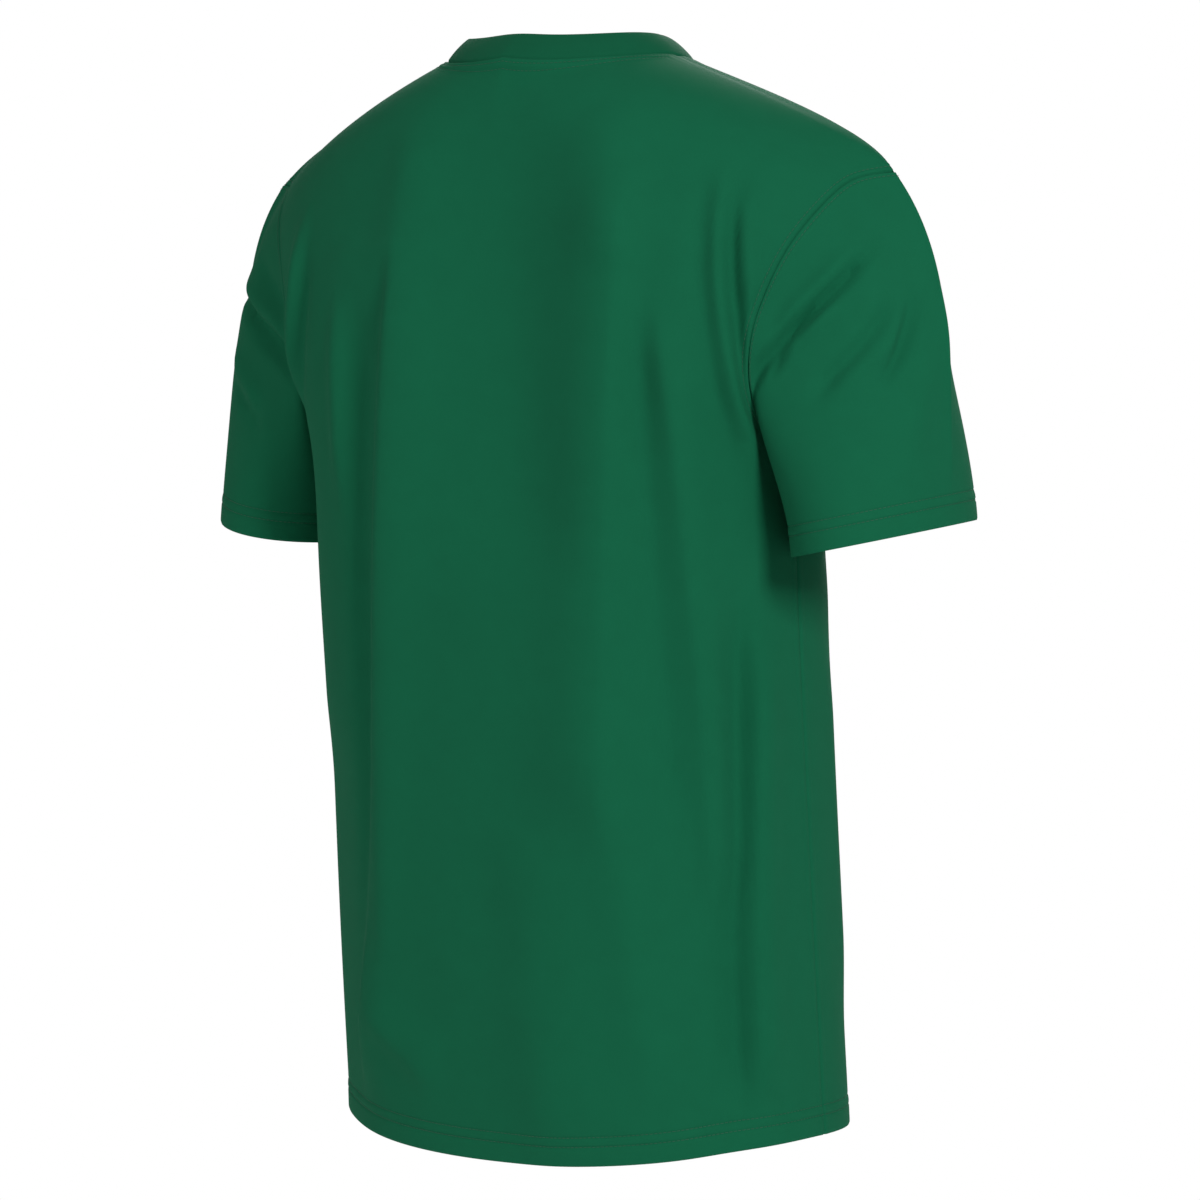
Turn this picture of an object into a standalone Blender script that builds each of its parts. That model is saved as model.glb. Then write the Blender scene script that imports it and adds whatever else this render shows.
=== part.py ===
"""A plain crew-neck T-shirt with short sleeves, filled out as it hangs when worn, with nobody in it.

Five cut pieces, each a thin cloth wall of its own: the back, the front, the two sleeves and the
collar band. Each is worked out as a smooth sheet of points, raised along its largest folds, and
thickened inwards. Where two pieces are sewn together their edges lie SEAM_GAP apart.

The frame: +Z up, the wearer faces -Y, and the wearer's left is +X. The origin lies midway between
the two points where the shoulder seams meet the neck seam, at their height. Tables are in
millimetres and the meshes in metres.
"""

from typing import Callable, NamedTuple

import bmesh
import bpy
import numpy as np

MM = 0.001
MIRROR = np.array((-1.0, 1.0, 1.0))
SHARP_EDGE = 0.9

# The cloth
CLOTH_WALL = 1.5  # one layer of jersey with the air that it holds
BAND_WALL = 2.4  # the collar band is folded double
SEAM_GAP = 0.3
SLEEVE_DRAW = 0.22  # a sleeve's share of that gap, with a little for the turn at the shoulder tip
ARMPIT_GAP = 0.7  # the sleeve hangs beside the body under the arm, just clear of it
ARMPIT_LEAN = 0.34  # how much it leaves the body outwards there
GREEN = (0.0065, 0.1010, 0.0467, 1.0)
GREEN_BAND = (0.0058, 0.0900, 0.0415, 1.0)
CLOTH_ROUGHNESS = 0.85

# The neck seam, an ellipse from above
NECK_HALF_WIDTH = 87.0
NECK_BACK = 79.0
NECK_FRONT = 92.0

# The collar band, from the neck seam to its folded top edge
BAND_RISE_BACK = 16.5
BAND_RISE_SIDE = 11.5
BAND_RISE_FRONT = 18.5
BAND_LEAN_BACK = 15.0
BAND_LEAN_SIDE = 20.0
BAND_LEAN_FRONT = 8.0
BAND_ROLL = 0.9  # under 1, the band leans most towards its top edge
BAND_INSIDE = 0.99

# How finely each piece is divided
NECK_COLUMNS = 10  # from the centre line to the neck point
SHOULDER_COLUMNS = 9  # from the neck point to the side
BODY_ROWS = 15  # from the hem to the underarm
ARMHOLE_ROWS = 12  # from the underarm to the shoulder tip
SLEEVE_ROWS = 10
BAND_ROWS = 3
EDGE_CROWDING = 0.86  # under 1, the side columns lie closer together towards the side
NECK_FAN = 0.6  # under 1, the columns spread apart most just below the neck point
EDGE_PULL = 1.6  # over 1, the armhole draws in the columns beside it more than those further off


class BodyRow(NamedTuple):
    """One line across half of the body, from the centre line to the side.

    It is a cubic arc: it leaves the centre level with it and runs `reach` outwards, falling by
    `fall`, and it comes in to its side point from the way of `lead`. Above the underarm the last
    stretch of a row lies inside the sleeve, and the cloth ends at the armhole.
    """

    centre_y: float
    centre_z: float
    fall: float
    reach: float
    side_x: float
    side_y: float
    side_z: float
    lead_x: float
    lead_y: float
    lead_z: float


# From the back hem up to the row before the shoulder ridge
BACK_ROWS = (
    BodyRow(96, -740, 0, 118, 185, -30, -722, 0, 84, 0),
    BodyRow(110, -570, 0, 118, 184, -17, -570, 0, 84, 0),
    BodyRow(121, -434, 0, 118, 183, -6, -434, 0, 84, 0),
    BodyRow(127, -339, 0, 118, 182, 0, -339, 0, 92, 0),
    BodyRow(127, -258, 0, 118, 187, 0, -258, 0, 102, 0),
    BodyRow(125, -206, 1, 116, 207, 0, -212, 0, 98, 4),
    BodyRow(121, -160, 2, 112, 224, 0, -178, -4, 90, 8),
    BodyRow(114, -114, 3, 108, 237, 0, -152, -10, 82, 16),
    BodyRow(104, -68, 6, 105, 247, 0, -128, -18, 68, 22),
    BodyRow(90, -18, 12, 102, 252, -2, -107, -26, 44, 26),
    BodyRow(50, 18, 26, 100, 254, -4, -92, -29, 14, 29),
)
# The shoulder ridge, which the shoulder seam follows beyond the neck point
RIDGE_ROW = BodyRow(5, 34, 46, 100, 253, -5, -83, -28, -8, 34)
# From the row after the ridge down to the front hem
FRONT_ROWS = (
    BodyRow(-50, 0, 18, 100, 254, -4, -92, -29, -26, 40),
    BodyRow(-93, -79, 10, 102, 252, -2, -107, -26, -44, 26),
    BodyRow(-109, -116, 6, 105, 246, 0, -128, -18, -66, 22),
    BodyRow(-120, -152, 3, 108, 235, 0, -152, -10, -80, 16),
    BodyRow(-126, -184, 2, 112, 222, 0, -178, -4, -86, 8),
    BodyRow(-128, -216, 1, 114, 206, 0, -212, 0, -92, 4),
    BodyRow(-128, -258, 0, 114, 187, 0, -258, 0, -92, 0),
    BodyRow(-129, -339, 0, 114, 182, 0, -339, 0, -84, 0),
    BodyRow(-134, -434, 0, 114, 183, -6, -434, 0, -78, 0),
    BodyRow(-143, -570, 0, 114, 184, -17, -570, 0, -76, 0),
    BodyRow(-154, -726, 0, 114, 185, -30, -722, 0, -76, 0),
)


class ArmholePoint(NamedTuple):
    """A height on the armhole, and how far back and forward it reaches there."""

    z: float
    back_y: float
    front_y: float


# From the underarm up to the shoulder tip
ARMHOLE = (
    ArmholePoint(-258, 0, 0),
    ArmholePoint(-254, 27, -26),
    ArmholePoint(-240, 51, -48),
    ArmholePoint(-200, 68, -63),
    ArmholePoint(-162, 64, -61),
    ArmholePoint(-130, 53, -52),
    ArmholePoint(-101, 32, -37),
    ArmholePoint(-87, 12, -21),
    ArmholePoint(-83, -5, -5),
)
UNDERARM_ROW = 4  # counted from either hem
MIDDLE_SHARE = 0.4  # the armhole lies beyond this share of every row
LOWEST_NECK_ROW = 7  # the neck seam lies above this row, counted from either hem

# The open end of a sleeve: an ellipse, higher outside than against the body
CUFF_CENTRE = (239.0, -17.0, -322.0)
CUFF_HALF_WIDTH = 53.0
CUFF_HALF_DEPTH = 77.0
CUFF_RISE_OUTSIDE = 10.0
CUFF_RISE_BACK = -6.0
SLEEVE_AXIS = (0.08, 0.0, -1.0)  # the way that the sleeve points at its cuff
SLEEVE_PULL = 0.36  # how long each end of a sleeve line keeps its direction
TIP_SHARE = 0.96  # the rows' ends double back at the ridge, so normals there are read just inside
TIP_REACH = 40.0  # within this of the ridge
SLEEVE_GIRTH = 430.0


class Fold(NamedTuple):
    """A soft ridge, or a trough where `height` is negative, along a bent line on the flat cloth.

    `across` and `up` are millimetres on the cloth: on a body piece, the way from the centre line
    along its row, positive to the wearer's left, and the height; on a sleeve, the way round from
    the shoulder tip, positive towards the back, and the way down from the armhole, negative.
    """

    start_across: float
    start_up: float
    middle_across: float
    middle_up: float
    end_across: float
    end_up: float
    half_width: float
    height: float


BACK_FOLDS = (
    # the drapes that hang from the shoulder blades and turn in under the arms
    Fold(-178, -100, -196, -215, -228, -360, 15, 6.5),
    Fold(-160, -130, -178, -235, -205, -350, 15, -3.0),
    Fold(180, -100, 196, -215, 228, -360, 16, 6.0),
    Fold(150, -190, 138, -260, 150, -420, 22, 2.5),
    # the long falls down the back
    Fold(68, -130, 58, -300, 72, -520, 20, 2.6),
    Fold(78, -300, 96, -503, 120, -690, 24, -3.2),
    Fold(108, -150, 111, -220, 108, -300, 15, 1.6),
    Fold(-70, -90, -82, -260, -78, -460, 30, -3.4),
    Fold(-108, -130, -116, -300, -110, -480, 22, 3.4),
    Fold(-146, -170, -154, -320, -182, -690, 16, -3.2),
    Fold(-98, -470, -122, -600, -140, -715, 26, 3.0),
    Fold(-190, -410, -184, -540, -176, -680, 13, 2.6),
    Fold(-226, -340, -222, -410, -214, -490, 18, 2.6),
    Fold(10, -520, 2, -620, -6, -720, 34, -2.2),
)
FRONT_FOLDS = (
    # the drapes below the front armholes
    Fold(176, -110, 194, -215, 226, -350, 15, 6.0),
    Fold(160, -140, 178, -240, 206, -340, 16, -2.8),
    Fold(-178, -110, -195, -215, -227, -360, 15, 6.0),
    Fold(-158, -150, -170, -240, -196, -370, 16, -3.0),
    # the long falls from the chest
    Fold(-92, -190, -84, -330, -98, -560, 22, 3.0),
    Fold(-48, -230, -40, -400, -52, -640, 26, -2.8),
    Fold(30, -240, 22, -430, 34, -690, 28, 2.4),
    Fold(84, -200, 92, -350, 84, -560, 20, 3.0),
    Fold(126, -280, 134, -470, 150, -700, 20, -3.2),
    Fold(-140, -360, -152, -520, -168, -700, 18, -2.8),
    Fold(190, -420, 186, -560, 178, -690, 15, 2.4),
    Fold(-208, -380, -200, -520, -196, -660, 16, 2.4),
)
LEFT_SLEEVE_FOLDS = (
    Fold(24, -58, 68, -50, 130, -8, 9, -5.0),
    Fold(22, -80, 66, -70, 112, -30, 12, 2.6),
    Fold(30, -104, 60, -92, 96, -62, 12, -2.4),
    Fold(-22, -60, -64, -50, -118, -14, 10, -4.4),
    Fold(-30, -92, -66, -82, -104, -50, 13, 2.4),
)
RIGHT_SLEEVE_FOLDS = (
    Fold(24, -42, 60, -36, 118, -16, 9, -4.4),
    Fold(20, -58, 52, -54, 96, -36, 11, 2.6),
    Fold(26, -74, 54, -72, 86, -66, 11, -3.4),
    Fold(34, -92, 56, -92, 84, -88, 12, 2.2),
    Fold(16, -90, 32, -104, 46, -116, 10, -2.6),
    Fold(-24, -54, -62, -46, -112, -16, 10, -4.2),
    Fold(-30, -84, -62, -78, -98, -54, 13, 2.4),
)
FOLD_SAMPLES = 25
HALVINGS = 26
FINE_STEPS = 200
SMALL_SHARE = 0.001
SMALL_STEP = 0.5
EDGE_REST = 9.0  # folds die out over this distance before a sewn edge
ARMHOLE_REST = 24.0  # and over this distance round an armhole, where the sleeve hangs over them


def bezier(control: np.ndarray, at: np.ndarray) -> np.ndarray:
    """Points on cubic arcs.

    Args:
        control: four control points for each arc, shape (..., 4, 3).
        at: how far along each arc, 0 to 1, shape (...).

    Returns:
        The points, shape (..., 3).
    """
    rest = 1 - at
    weights = np.stack([rest**3, 3 * rest**2 * at, 3 * rest * at**2, at**3], axis=-1)
    return (weights[..., None] * control).sum(axis=-2)


def smooth_through(knots: np.ndarray, values: np.ndarray) -> Callable[[np.ndarray], np.ndarray]:
    """A natural cubic spline.

    Args:
        knots: rising positions, shape (n,).
        values: what the curve passes through there, shape (n, ...).

    Returns:
        A function from positions to values.
    """
    count = len(knots)
    gaps = np.diff(knots)
    system = np.eye(count)
    right = np.zeros_like(values)
    for i in range(1, count - 1):
        system[i, i - 1 : i + 2] = gaps[i - 1], 2 * (gaps[i - 1] + gaps[i]), gaps[i]
        right[i] = 6 * (
            (values[i + 1] - values[i]) / gaps[i] - (values[i] - values[i - 1]) / gaps[i - 1]
        )
    bend = np.linalg.solve(system, right.reshape(count, -1)).reshape(values.shape)

    def curve(at: np.ndarray) -> np.ndarray:
        place = np.clip(np.searchsorted(knots, at, side="right") - 1, 0, count - 2)
        shape = (...,) + (None,) * (values.ndim - 1)
        gap = gaps[place][shape]
        far = (at - knots[place])[shape] / gap
        near = 1 - far
        return (
            near * values[place]
            + far * values[place + 1]
            + ((near**3 - near) * bend[place] + (far**3 - far) * bend[place + 1]) * gap**2 / 6
        )

    return curve


def solve_between(
    low: np.ndarray, high: np.ndarray, below: Callable[[np.ndarray], np.ndarray]
) -> np.ndarray:
    """The places between low and high where `below` stops being true, by halving."""
    for _ in range(HALVINGS):
        middle = (low + high) / 2
        under = below(middle)
        low = np.where(under, middle, low)
        high = np.where(under, high, middle)
    return (low + high) / 2


def along_line(points: np.ndarray) -> np.ndarray:
    """How far along a line each of its points lies."""
    return np.concatenate([[0.0], np.cumsum(np.linalg.norm(np.diff(points, axis=0), axis=1))])


def unit(vectors: np.ndarray) -> np.ndarray:
    """The vectors at length 1."""
    return vectors / np.linalg.norm(vectors, axis=-1, keepdims=True)


def ease(share: np.ndarray) -> np.ndarray:
    """0 to 1, with a soft start and end."""
    share = np.clip(share, 0, 1)
    return share * share * (3 - 2 * share)


def drawn_back(
    edge: np.ndarray, normals: np.ndarray, inner: np.ndarray, ring: bool = False, by: float = SEAM_GAP / 2
) -> np.ndarray:
    """A sewn edge, moved into its own piece to leave a gap at the seam.

    Args:
        edge: the points of the edge.
        normals: the cloth's normals there.
        inner: the next line of points inside the piece.
        ring: whether the edge closes on itself.
        by: how far it moves.

    Returns:
        The moved points.
    """
    if ring:
        along = np.roll(edge, -1, axis=0) - np.roll(edge, 1, axis=0)
    else:
        along = np.gradient(edge, axis=0)
    aside = unit(np.cross(normals, along))
    aside *= np.sign(((inner - edge) * aside).sum())
    return edge + aside * by


def relief(across: np.ndarray, up: np.ndarray, folds: tuple[Fold, ...]) -> np.ndarray:
    """How far each point of a cloth is raised by its folds.

    Args:
        across, up: each point's place on the flat cloth.
        folds: the rows of the piece's fold table.

    Returns:
        The height of each point, positive outwards.
    """
    raised = np.zeros_like(across)
    along = np.linspace(0, 1, FOLD_SAMPLES)
    fade = ease(np.minimum(along, 1 - along) * 4)
    for fold in folds:
        turn_across = 2 * fold.middle_across - (fold.start_across + fold.end_across) / 2
        turn_up = 2 * fold.middle_up - (fold.start_up + fold.end_up) / 2
        line_across = (
            (1 - along) ** 2 * fold.start_across
            + 2 * along * (1 - along) * turn_across
            + along**2 * fold.end_across
        )
        line_up = (
            (1 - along) ** 2 * fold.start_up
            + 2 * along * (1 - along) * turn_up
            + along**2 * fold.end_up
        )
        away = np.hypot(across[..., None] - line_across, up[..., None] - line_up)
        nearest = away.argmin(axis=-1)
        distance = np.take_along_axis(away, nearest[..., None], axis=-1)[..., 0]
        raised += fold.height * fade[nearest] * np.exp(-((distance / fold.half_width) ** 2))
    return raised


class Body:
    """The smooth form that the back and the front are cut from: rows from hem over shoulder to hem."""

    def __init__(self) -> None:
        """Works out the spline that carries one row into the next."""
        rows = BACK_ROWS + (RIDGE_ROW,) + FRONT_ROWS
        arcs = []
        for row in rows:
            edge = np.array((row.side_x, row.side_y, row.side_z), float)
            arcs.append(
                (
                    (0, row.centre_y, row.centre_z),
                    (row.reach, row.centre_y, row.centre_z - row.fall),
                    edge + (row.lead_x, row.lead_y, row.lead_z),
                    edge,
                )
            )
        arcs = np.array(arcs, float)
        steps = np.linalg.norm(np.diff(arcs, axis=0), axis=2).mean(axis=1)
        knots = np.concatenate([[0.0], np.cumsum(steps)])
        self.arcs_at = smooth_through(knots, arcs)
        last = len(rows) - 1
        self.ridge = knots[len(BACK_ROWS)]
        self.hem = {"back": knots[0], "front": knots[last]}
        self.underarm = {"back": knots[UNDERARM_ROW], "front": knots[last - UNDERARM_ROW]}
        self.below_neck = {
            "back": knots[LOWEST_NECK_ROW],
            "front": knots[last - LOWEST_NECK_ROW],
        }
        self.neck_share = solve_between(
            0.0, 1.0, lambda share: self.point(share, self.ridge)[..., 0] < NECK_HALF_WIDTH
        )
        self.armhole_places = {side: self.divide_armhole(side) for side in ("back", "front")}
        self.neck_places = {side: self.divide_neck(side) for side in ("back", "front")}

    def point(self, share: np.ndarray, row: np.ndarray) -> np.ndarray:
        """The points `share` of the way from the centre line to the side, on the given rows."""
        share, row = np.broadcast_arrays(np.asarray(share, float), np.asarray(row, float))
        return bezier(self.arcs_at(row), share)

    def normal(self, share: np.ndarray, row: np.ndarray) -> np.ndarray:
        """The outward normals of the form at the same places."""
        beside_ridge = ease(1 - np.abs(row - self.ridge) / TIP_REACH)
        share = np.minimum(share, 1 - (1 - TIP_SHARE) * beside_ridge)
        across = self.point(share + SMALL_SHARE, row) - self.point(share - SMALL_SHARE, row)
        along = self.point(share, row + SMALL_STEP) - self.point(share, row - SMALL_STEP)
        return unit(np.cross(along, across))

    def divide_neck(self, side: str) -> tuple[np.ndarray, np.ndarray]:
        """The shares and rows that divide a quarter of the neck seam evenly, from the centre out."""
        neck_depth = NECK_BACK if side == "back" else NECK_FRONT
        turn = np.linspace(0, np.pi / 2, NECK_COLUMNS + 1)[:-1]
        aside = NECK_HALF_WIDTH * np.sin(turn)

        def rows_on(shares: np.ndarray) -> np.ndarray:
            low = np.full(len(turn), self.below_neck[side])
            high = np.full(len(turn), self.ridge)
            return solve_between(low, high, lambda rows: self.outside_neck(shares, rows, neck_depth))

        none = np.zeros(len(turn))
        full = np.full(len(turn), self.neck_share)
        shares = solve_between(
            none, full, lambda shares: self.point(shares, rows_on(shares))[:, 0] < aside
        )
        return np.append(shares, self.neck_share), np.append(rows_on(shares), self.ridge)

    def outside_neck(self, shares: np.ndarray, rows: np.ndarray, neck_depth: float) -> np.ndarray:
        """Whether places lie outside the neck seam, seen from above."""
        place = self.point(shares, rows)
        return np.hypot(place[..., 0] / NECK_HALF_WIDTH, place[..., 1] / neck_depth) > 1

    def divide_armhole(self, side: str) -> tuple[np.ndarray, np.ndarray]:
        """The shares and rows that divide half of the armhole evenly, from underarm to shoulder tip."""
        outline = [(p.back_y if side == "back" else p.front_y, p.z) for p in ARMHOLE]
        outline = np.array(outline, float)
        knots = along_line(outline)
        fine = smooth_through(knots, outline)(np.linspace(0, knots[-1], FINE_STEPS))
        length = along_line(fine)
        even = np.linspace(0, length[-1], ARMHOLE_ROWS + 1)[1:-1]
        depth = np.interp(even, length, fine[:, 0])
        height = np.interp(even, length, fine[:, 1])
        facing = 1 if side == "back" else -1

        def shares_on(rows: np.ndarray) -> np.ndarray:
            low = np.full(len(rows), MIDDLE_SHARE)
            return solve_between(
                low, np.ones(len(rows)), lambda at: self.point(at, rows)[:, 1] * facing > depth * facing
            )

        rows = solve_between(
            np.full(len(depth), self.underarm[side]),
            np.full(len(depth), self.ridge),
            lambda rows: self.point(shares_on(rows), rows)[:, 2] < height,
        )
        shares = np.concatenate([[1.0], shares_on(rows), [1.0]])
        return shares, np.concatenate([[self.underarm[side]], rows, [self.ridge]])

    def panel(self, side: str) -> tuple[np.ndarray, np.ndarray, np.ndarray]:
        """The back or the front, from the wearer's left side to the right.

        Args:
            side: "back" or "front".

        Returns:
            A grid of points, rows from the hem up, their outward normals, and each point's
            distance from the centre line.
        """
        low_shares = np.linspace(0, 1, NECK_COLUMNS + SHOULDER_COLUMNS + 1) ** EDGE_CROWDING
        outer = np.linspace(self.neck_share, 1, SHOULDER_COLUMNS + 1)[1:]
        neck_shares, neck_rows = self.neck_places[side]
        hem, low, top = self.hem[side], self.underarm[side], self.ridge
        top_shares = np.concatenate([neck_shares, outer])
        top_rows = np.concatenate([neck_rows, np.full(len(outer), top)])
        edge_shares, edge_rows = self.armhole_places[side]
        middle_rows = np.linspace(low, top, ARMHOLE_ROWS + 1)
        climb = np.concatenate([np.zeros(BODY_ROWS), np.linspace(0, 1, ARMHOLE_ROWS + 1)])[:, None]
        rows = np.concatenate([np.linspace(hem, low, BODY_ROWS + 1)[:-1], middle_rows])[:, None]
        to_edge = np.concatenate([np.zeros(BODY_ROWS), edge_rows - middle_rows])[:, None]
        narrowing = np.concatenate([np.zeros(BODY_ROWS), 1 - edge_shares])[:, None]
        grid_rows = rows + climb * (top_rows - top) + to_edge * low_shares**2
        grid_shares = top_shares + (1 - climb) ** NECK_FAN * (low_shares - top_shares)
        grid_shares = grid_shares - narrowing * grid_shares**EDGE_PULL
        half = self.point(grid_shares, grid_rows)
        half_normals = self.normal(grid_shares, grid_rows)
        lengths = np.linalg.norm(np.diff(half, axis=1), axis=2)
        reach = np.concatenate([np.zeros_like(rows), np.cumsum(lengths, axis=1)], axis=1)
        points = np.concatenate([half[:, ::-1], half[:, 1:] * MIRROR], axis=1)
        normals = np.concatenate([half_normals[:, ::-1], half_normals[:, 1:] * MIRROR], axis=1)
        across = np.concatenate([reach[:, ::-1], -reach[:, 1:]], axis=1)
        return points, normals, across

    def armhole(self) -> tuple[np.ndarray, np.ndarray]:
        """The left armhole as a ring: from the shoulder tip down the back and up the front.

        Returns:
            Its points and the body's outward normals there.
        """
        back_shares, back_rows = self.armhole_places["back"]
        front_shares, front_rows = self.armhole_places["front"]
        shares = np.concatenate([back_shares[::-1], front_shares[1:-1]])
        rows = np.concatenate([back_rows[::-1], front_rows[1:-1]])
        return self.point(shares, rows), self.normal(shares, rows)


class Sheet(NamedTuple):
    """One cloth piece before it is thickened: its outer points and their outward normals."""

    points: np.ndarray
    normals: np.ndarray


def body_piece(body: Body, side: str, folds: tuple[Fold, ...]) -> Sheet:
    """The back or the front, with its folds, its sewn edges drawn back."""
    points, normals, across = body.panel(side)
    rise = relief(across, points[..., 2], folds)
    width = np.abs(across).max(axis=1, keepdims=True)
    to_side = ease((width - np.abs(across)) / EDGE_REST)
    to_top = ease(np.linalg.norm(points - points[-1:], axis=2) / EDGE_REST)
    ring, _ = body.armhole()
    rings = np.concatenate([ring, ring * MIRROR])
    to_ring = np.linalg.norm(points[:, :, None] - rings, axis=3).min(axis=2)
    rise *= to_side * to_top * ease(to_ring / ARMHOLE_REST)
    raised = points + normals * rise[..., None]
    drawn = raised.copy()
    for edge, inner in ((0, 1), (-1, -2)):
        drawn[:, edge] = drawn_back(raised[:, edge], normals[:, edge], raised[:, inner])
    drawn[-1] = drawn_back(drawn[-1], normals[-1], drawn[-2])
    return Sheet(drawn, normals)


def sleeve_piece(body: Body, folds: tuple[Fold, ...]) -> Sheet:
    """The left sleeve, rows from the armhole to the cuff, its rings not yet closed."""
    ring, body_normals = body.armhole()
    count = len(ring)
    turn = 2 * np.pi * np.arange(count) / count
    out = np.cos(turn)
    back = np.sin(turn)
    cuff_rise = CUFF_RISE_OUTSIDE * out + CUFF_RISE_BACK * back
    cuff = np.stack([CUFF_HALF_WIDTH * out, CUFF_HALF_DEPTH * back, cuff_rise], axis=1) + CUFF_CENTRE
    span = cuff - ring
    length = np.linalg.norm(span, axis=1)[:, None]
    underneath = ease(-out)[:, None]
    along_body = unit(span - (span * body_normals).sum(axis=1)[:, None] * body_normals)
    start = unit(along_body + body_normals * ARMPIT_LEAN * underneath)
    axis = unit(np.array(SLEEVE_AXIS))
    sewn = drawn_back(ring, body_normals, ring + along_body, ring=True, by=SLEEVE_DRAW)
    sewn = sewn + body_normals * ARMPIT_GAP * underneath
    arc = np.stack([sewn, sewn + start * length * SLEEVE_PULL, cuff - axis * length * SLEEVE_PULL, cuff])
    arc = arc.transpose(1, 0, 2)[None]
    down = np.linspace(0, 1, SLEEVE_ROWS + 1)[:, None] * np.ones(count)
    points = bezier(arc, down)
    onwards = bezier(arc, down + SMALL_SHARE) - bezier(arc, down - SMALL_SHARE)
    around = np.roll(points, -1, axis=1) - np.roll(points, 1, axis=1)
    normals = unit(np.cross(onwards, around))
    reach = down * length.T
    turned = np.where(turn > np.pi, turn - 2 * np.pi, turn) / (2 * np.pi)
    rise = relief(turned * SLEEVE_GIRTH * np.ones_like(down), -reach, folds)
    rise *= ease(reach / (2 * EDGE_REST)) * ease((length.T - reach) / (2 * EDGE_REST))
    raised = points + normals * rise[..., None]
    normals[0] = unit(normals[0] * underneath + body_normals * (1 - underneath))
    return Sheet(raised, normals)


def band_piece(body: Body) -> Sheet:
    """The collar band, rows from the neck seam up, its rings not yet closed."""
    ring = []
    seam_normals = []
    for side, order in (("back", 1), ("front", -1)):
        points, normals, _ = body.panel(side)
        middle = points.shape[1] // 2
        neck = slice(middle - NECK_COLUMNS, middle + NECK_COLUMNS + 1)
        ring.append(points[-1, neck][::order][:-1])
        seam_normals.append(normals[-1, neck][::order][:-1])
    ring = np.concatenate(ring)
    seam_normals = np.concatenate(seam_normals)
    turn = np.arctan2(ring[:, 0] / NECK_HALF_WIDTH, ring[:, 1] / NECK_BACK)
    behind = np.clip(np.cos(turn), 0, 1) ** 2
    before = np.clip(-np.cos(turn), 0, 1) ** 2
    beside = 1 - behind - before
    rise = BAND_RISE_BACK * behind + BAND_RISE_SIDE * beside + BAND_RISE_FRONT * before
    lean = BAND_LEAN_BACK * behind + BAND_LEAN_SIDE * beside + BAND_LEAN_FRONT * before
    inwards = unit(-ring * (1, 1, 0))

    def raised(share: np.ndarray) -> np.ndarray:
        leaning = (1 - (1 - share) ** BAND_ROLL) * lean[:, None] * inwards
        return ring + leaning + share * rise[:, None] * np.array((0, 0, 1))

    share = np.linspace(0, 1, BAND_ROWS + 1)[:, None, None]
    points = raised(share)
    upwards = raised(share * BAND_INSIDE + SMALL_SHARE) - raised(share * BAND_INSIDE)
    around = np.roll(points, -1, axis=1) - np.roll(points, 1, axis=1)
    normals = unit(np.cross(around, upwards))
    points[0] = drawn_back(points[0], seam_normals, points[1], ring=True)
    normals[0] = seam_normals
    return Sheet(points, normals)


def cloth_material(name: str, colour: tuple[float, float, float, float]) -> bpy.types.Material:
    """A matt cloth."""
    material = bpy.data.materials.new(name)
    material.use_nodes = True
    shader = material.node_tree.nodes["Principled BSDF"]
    shader.inputs["Base Color"].default_value = colour
    shader.inputs["Roughness"].default_value = CLOTH_ROUGHNESS
    shader.inputs["Metallic"].default_value = 0.0
    material.diffuse_color = colour
    return material


def cloth_object(
    name: str, sheet: Sheet, wall: float, material: bpy.types.Material, closed: bool = False
) -> bpy.types.Object:
    """A sheet of cloth, thickened inwards into one closed body.

    Args:
        name: the object's name.
        sheet: its outer points, in millimetres, and their normals.
        wall: the cloth's thickness in millimetres.
        material: its material.
        closed: whether each row is a ring.

    Returns:
        The object.
    """
    rows, columns = sheet.points.shape[:2]
    made = bmesh.new()
    layers = []
    for depth in (0.0, wall):
        places = (sheet.points - sheet.normals * depth) * MM
        layers.append([[made.verts.new(place) for place in row] for row in places])
    outer, inner = layers
    last = columns if closed else columns - 1
    for row in range(rows - 1):
        for column in range(last):
            after = (column + 1) % columns
            corners = ((row, column), (row, after), (row + 1, after), (row + 1, column))
            made.faces.new([outer[i][j] for i, j in corners])
            made.faces.new([inner[i][j] for i, j in reversed(corners)])
    rims = [(row, None) for row in (0, rows - 1)]
    if not closed:
        rims += [(None, column) for column in (0, columns - 1)]
    for row, column in rims:
        if column is None:
            line = [(row, at % columns) for at in range(last + 1)]
        else:
            line = [(at, column) for at in range(rows)]
        for (i, j), (k, m) in zip(line, line[1:]):
            made.faces.new((outer[i][j], outer[k][m], inner[k][m], inner[i][j]))
    bmesh.ops.triangulate(made, faces=made.faces, quad_method="SHORT_EDGE")
    bmesh.ops.recalc_face_normals(made, faces=made.faces)
    mesh = bpy.data.meshes.new(name)
    made.to_mesh(mesh)
    made.free()
    mesh.shade_smooth()
    mesh.set_sharp_from_angle(angle=SHARP_EDGE)
    mesh.materials.append(material)
    piece = bpy.data.objects.new(name, mesh)
    bpy.context.scene.collection.objects.link(piece)
    return piece


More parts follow.
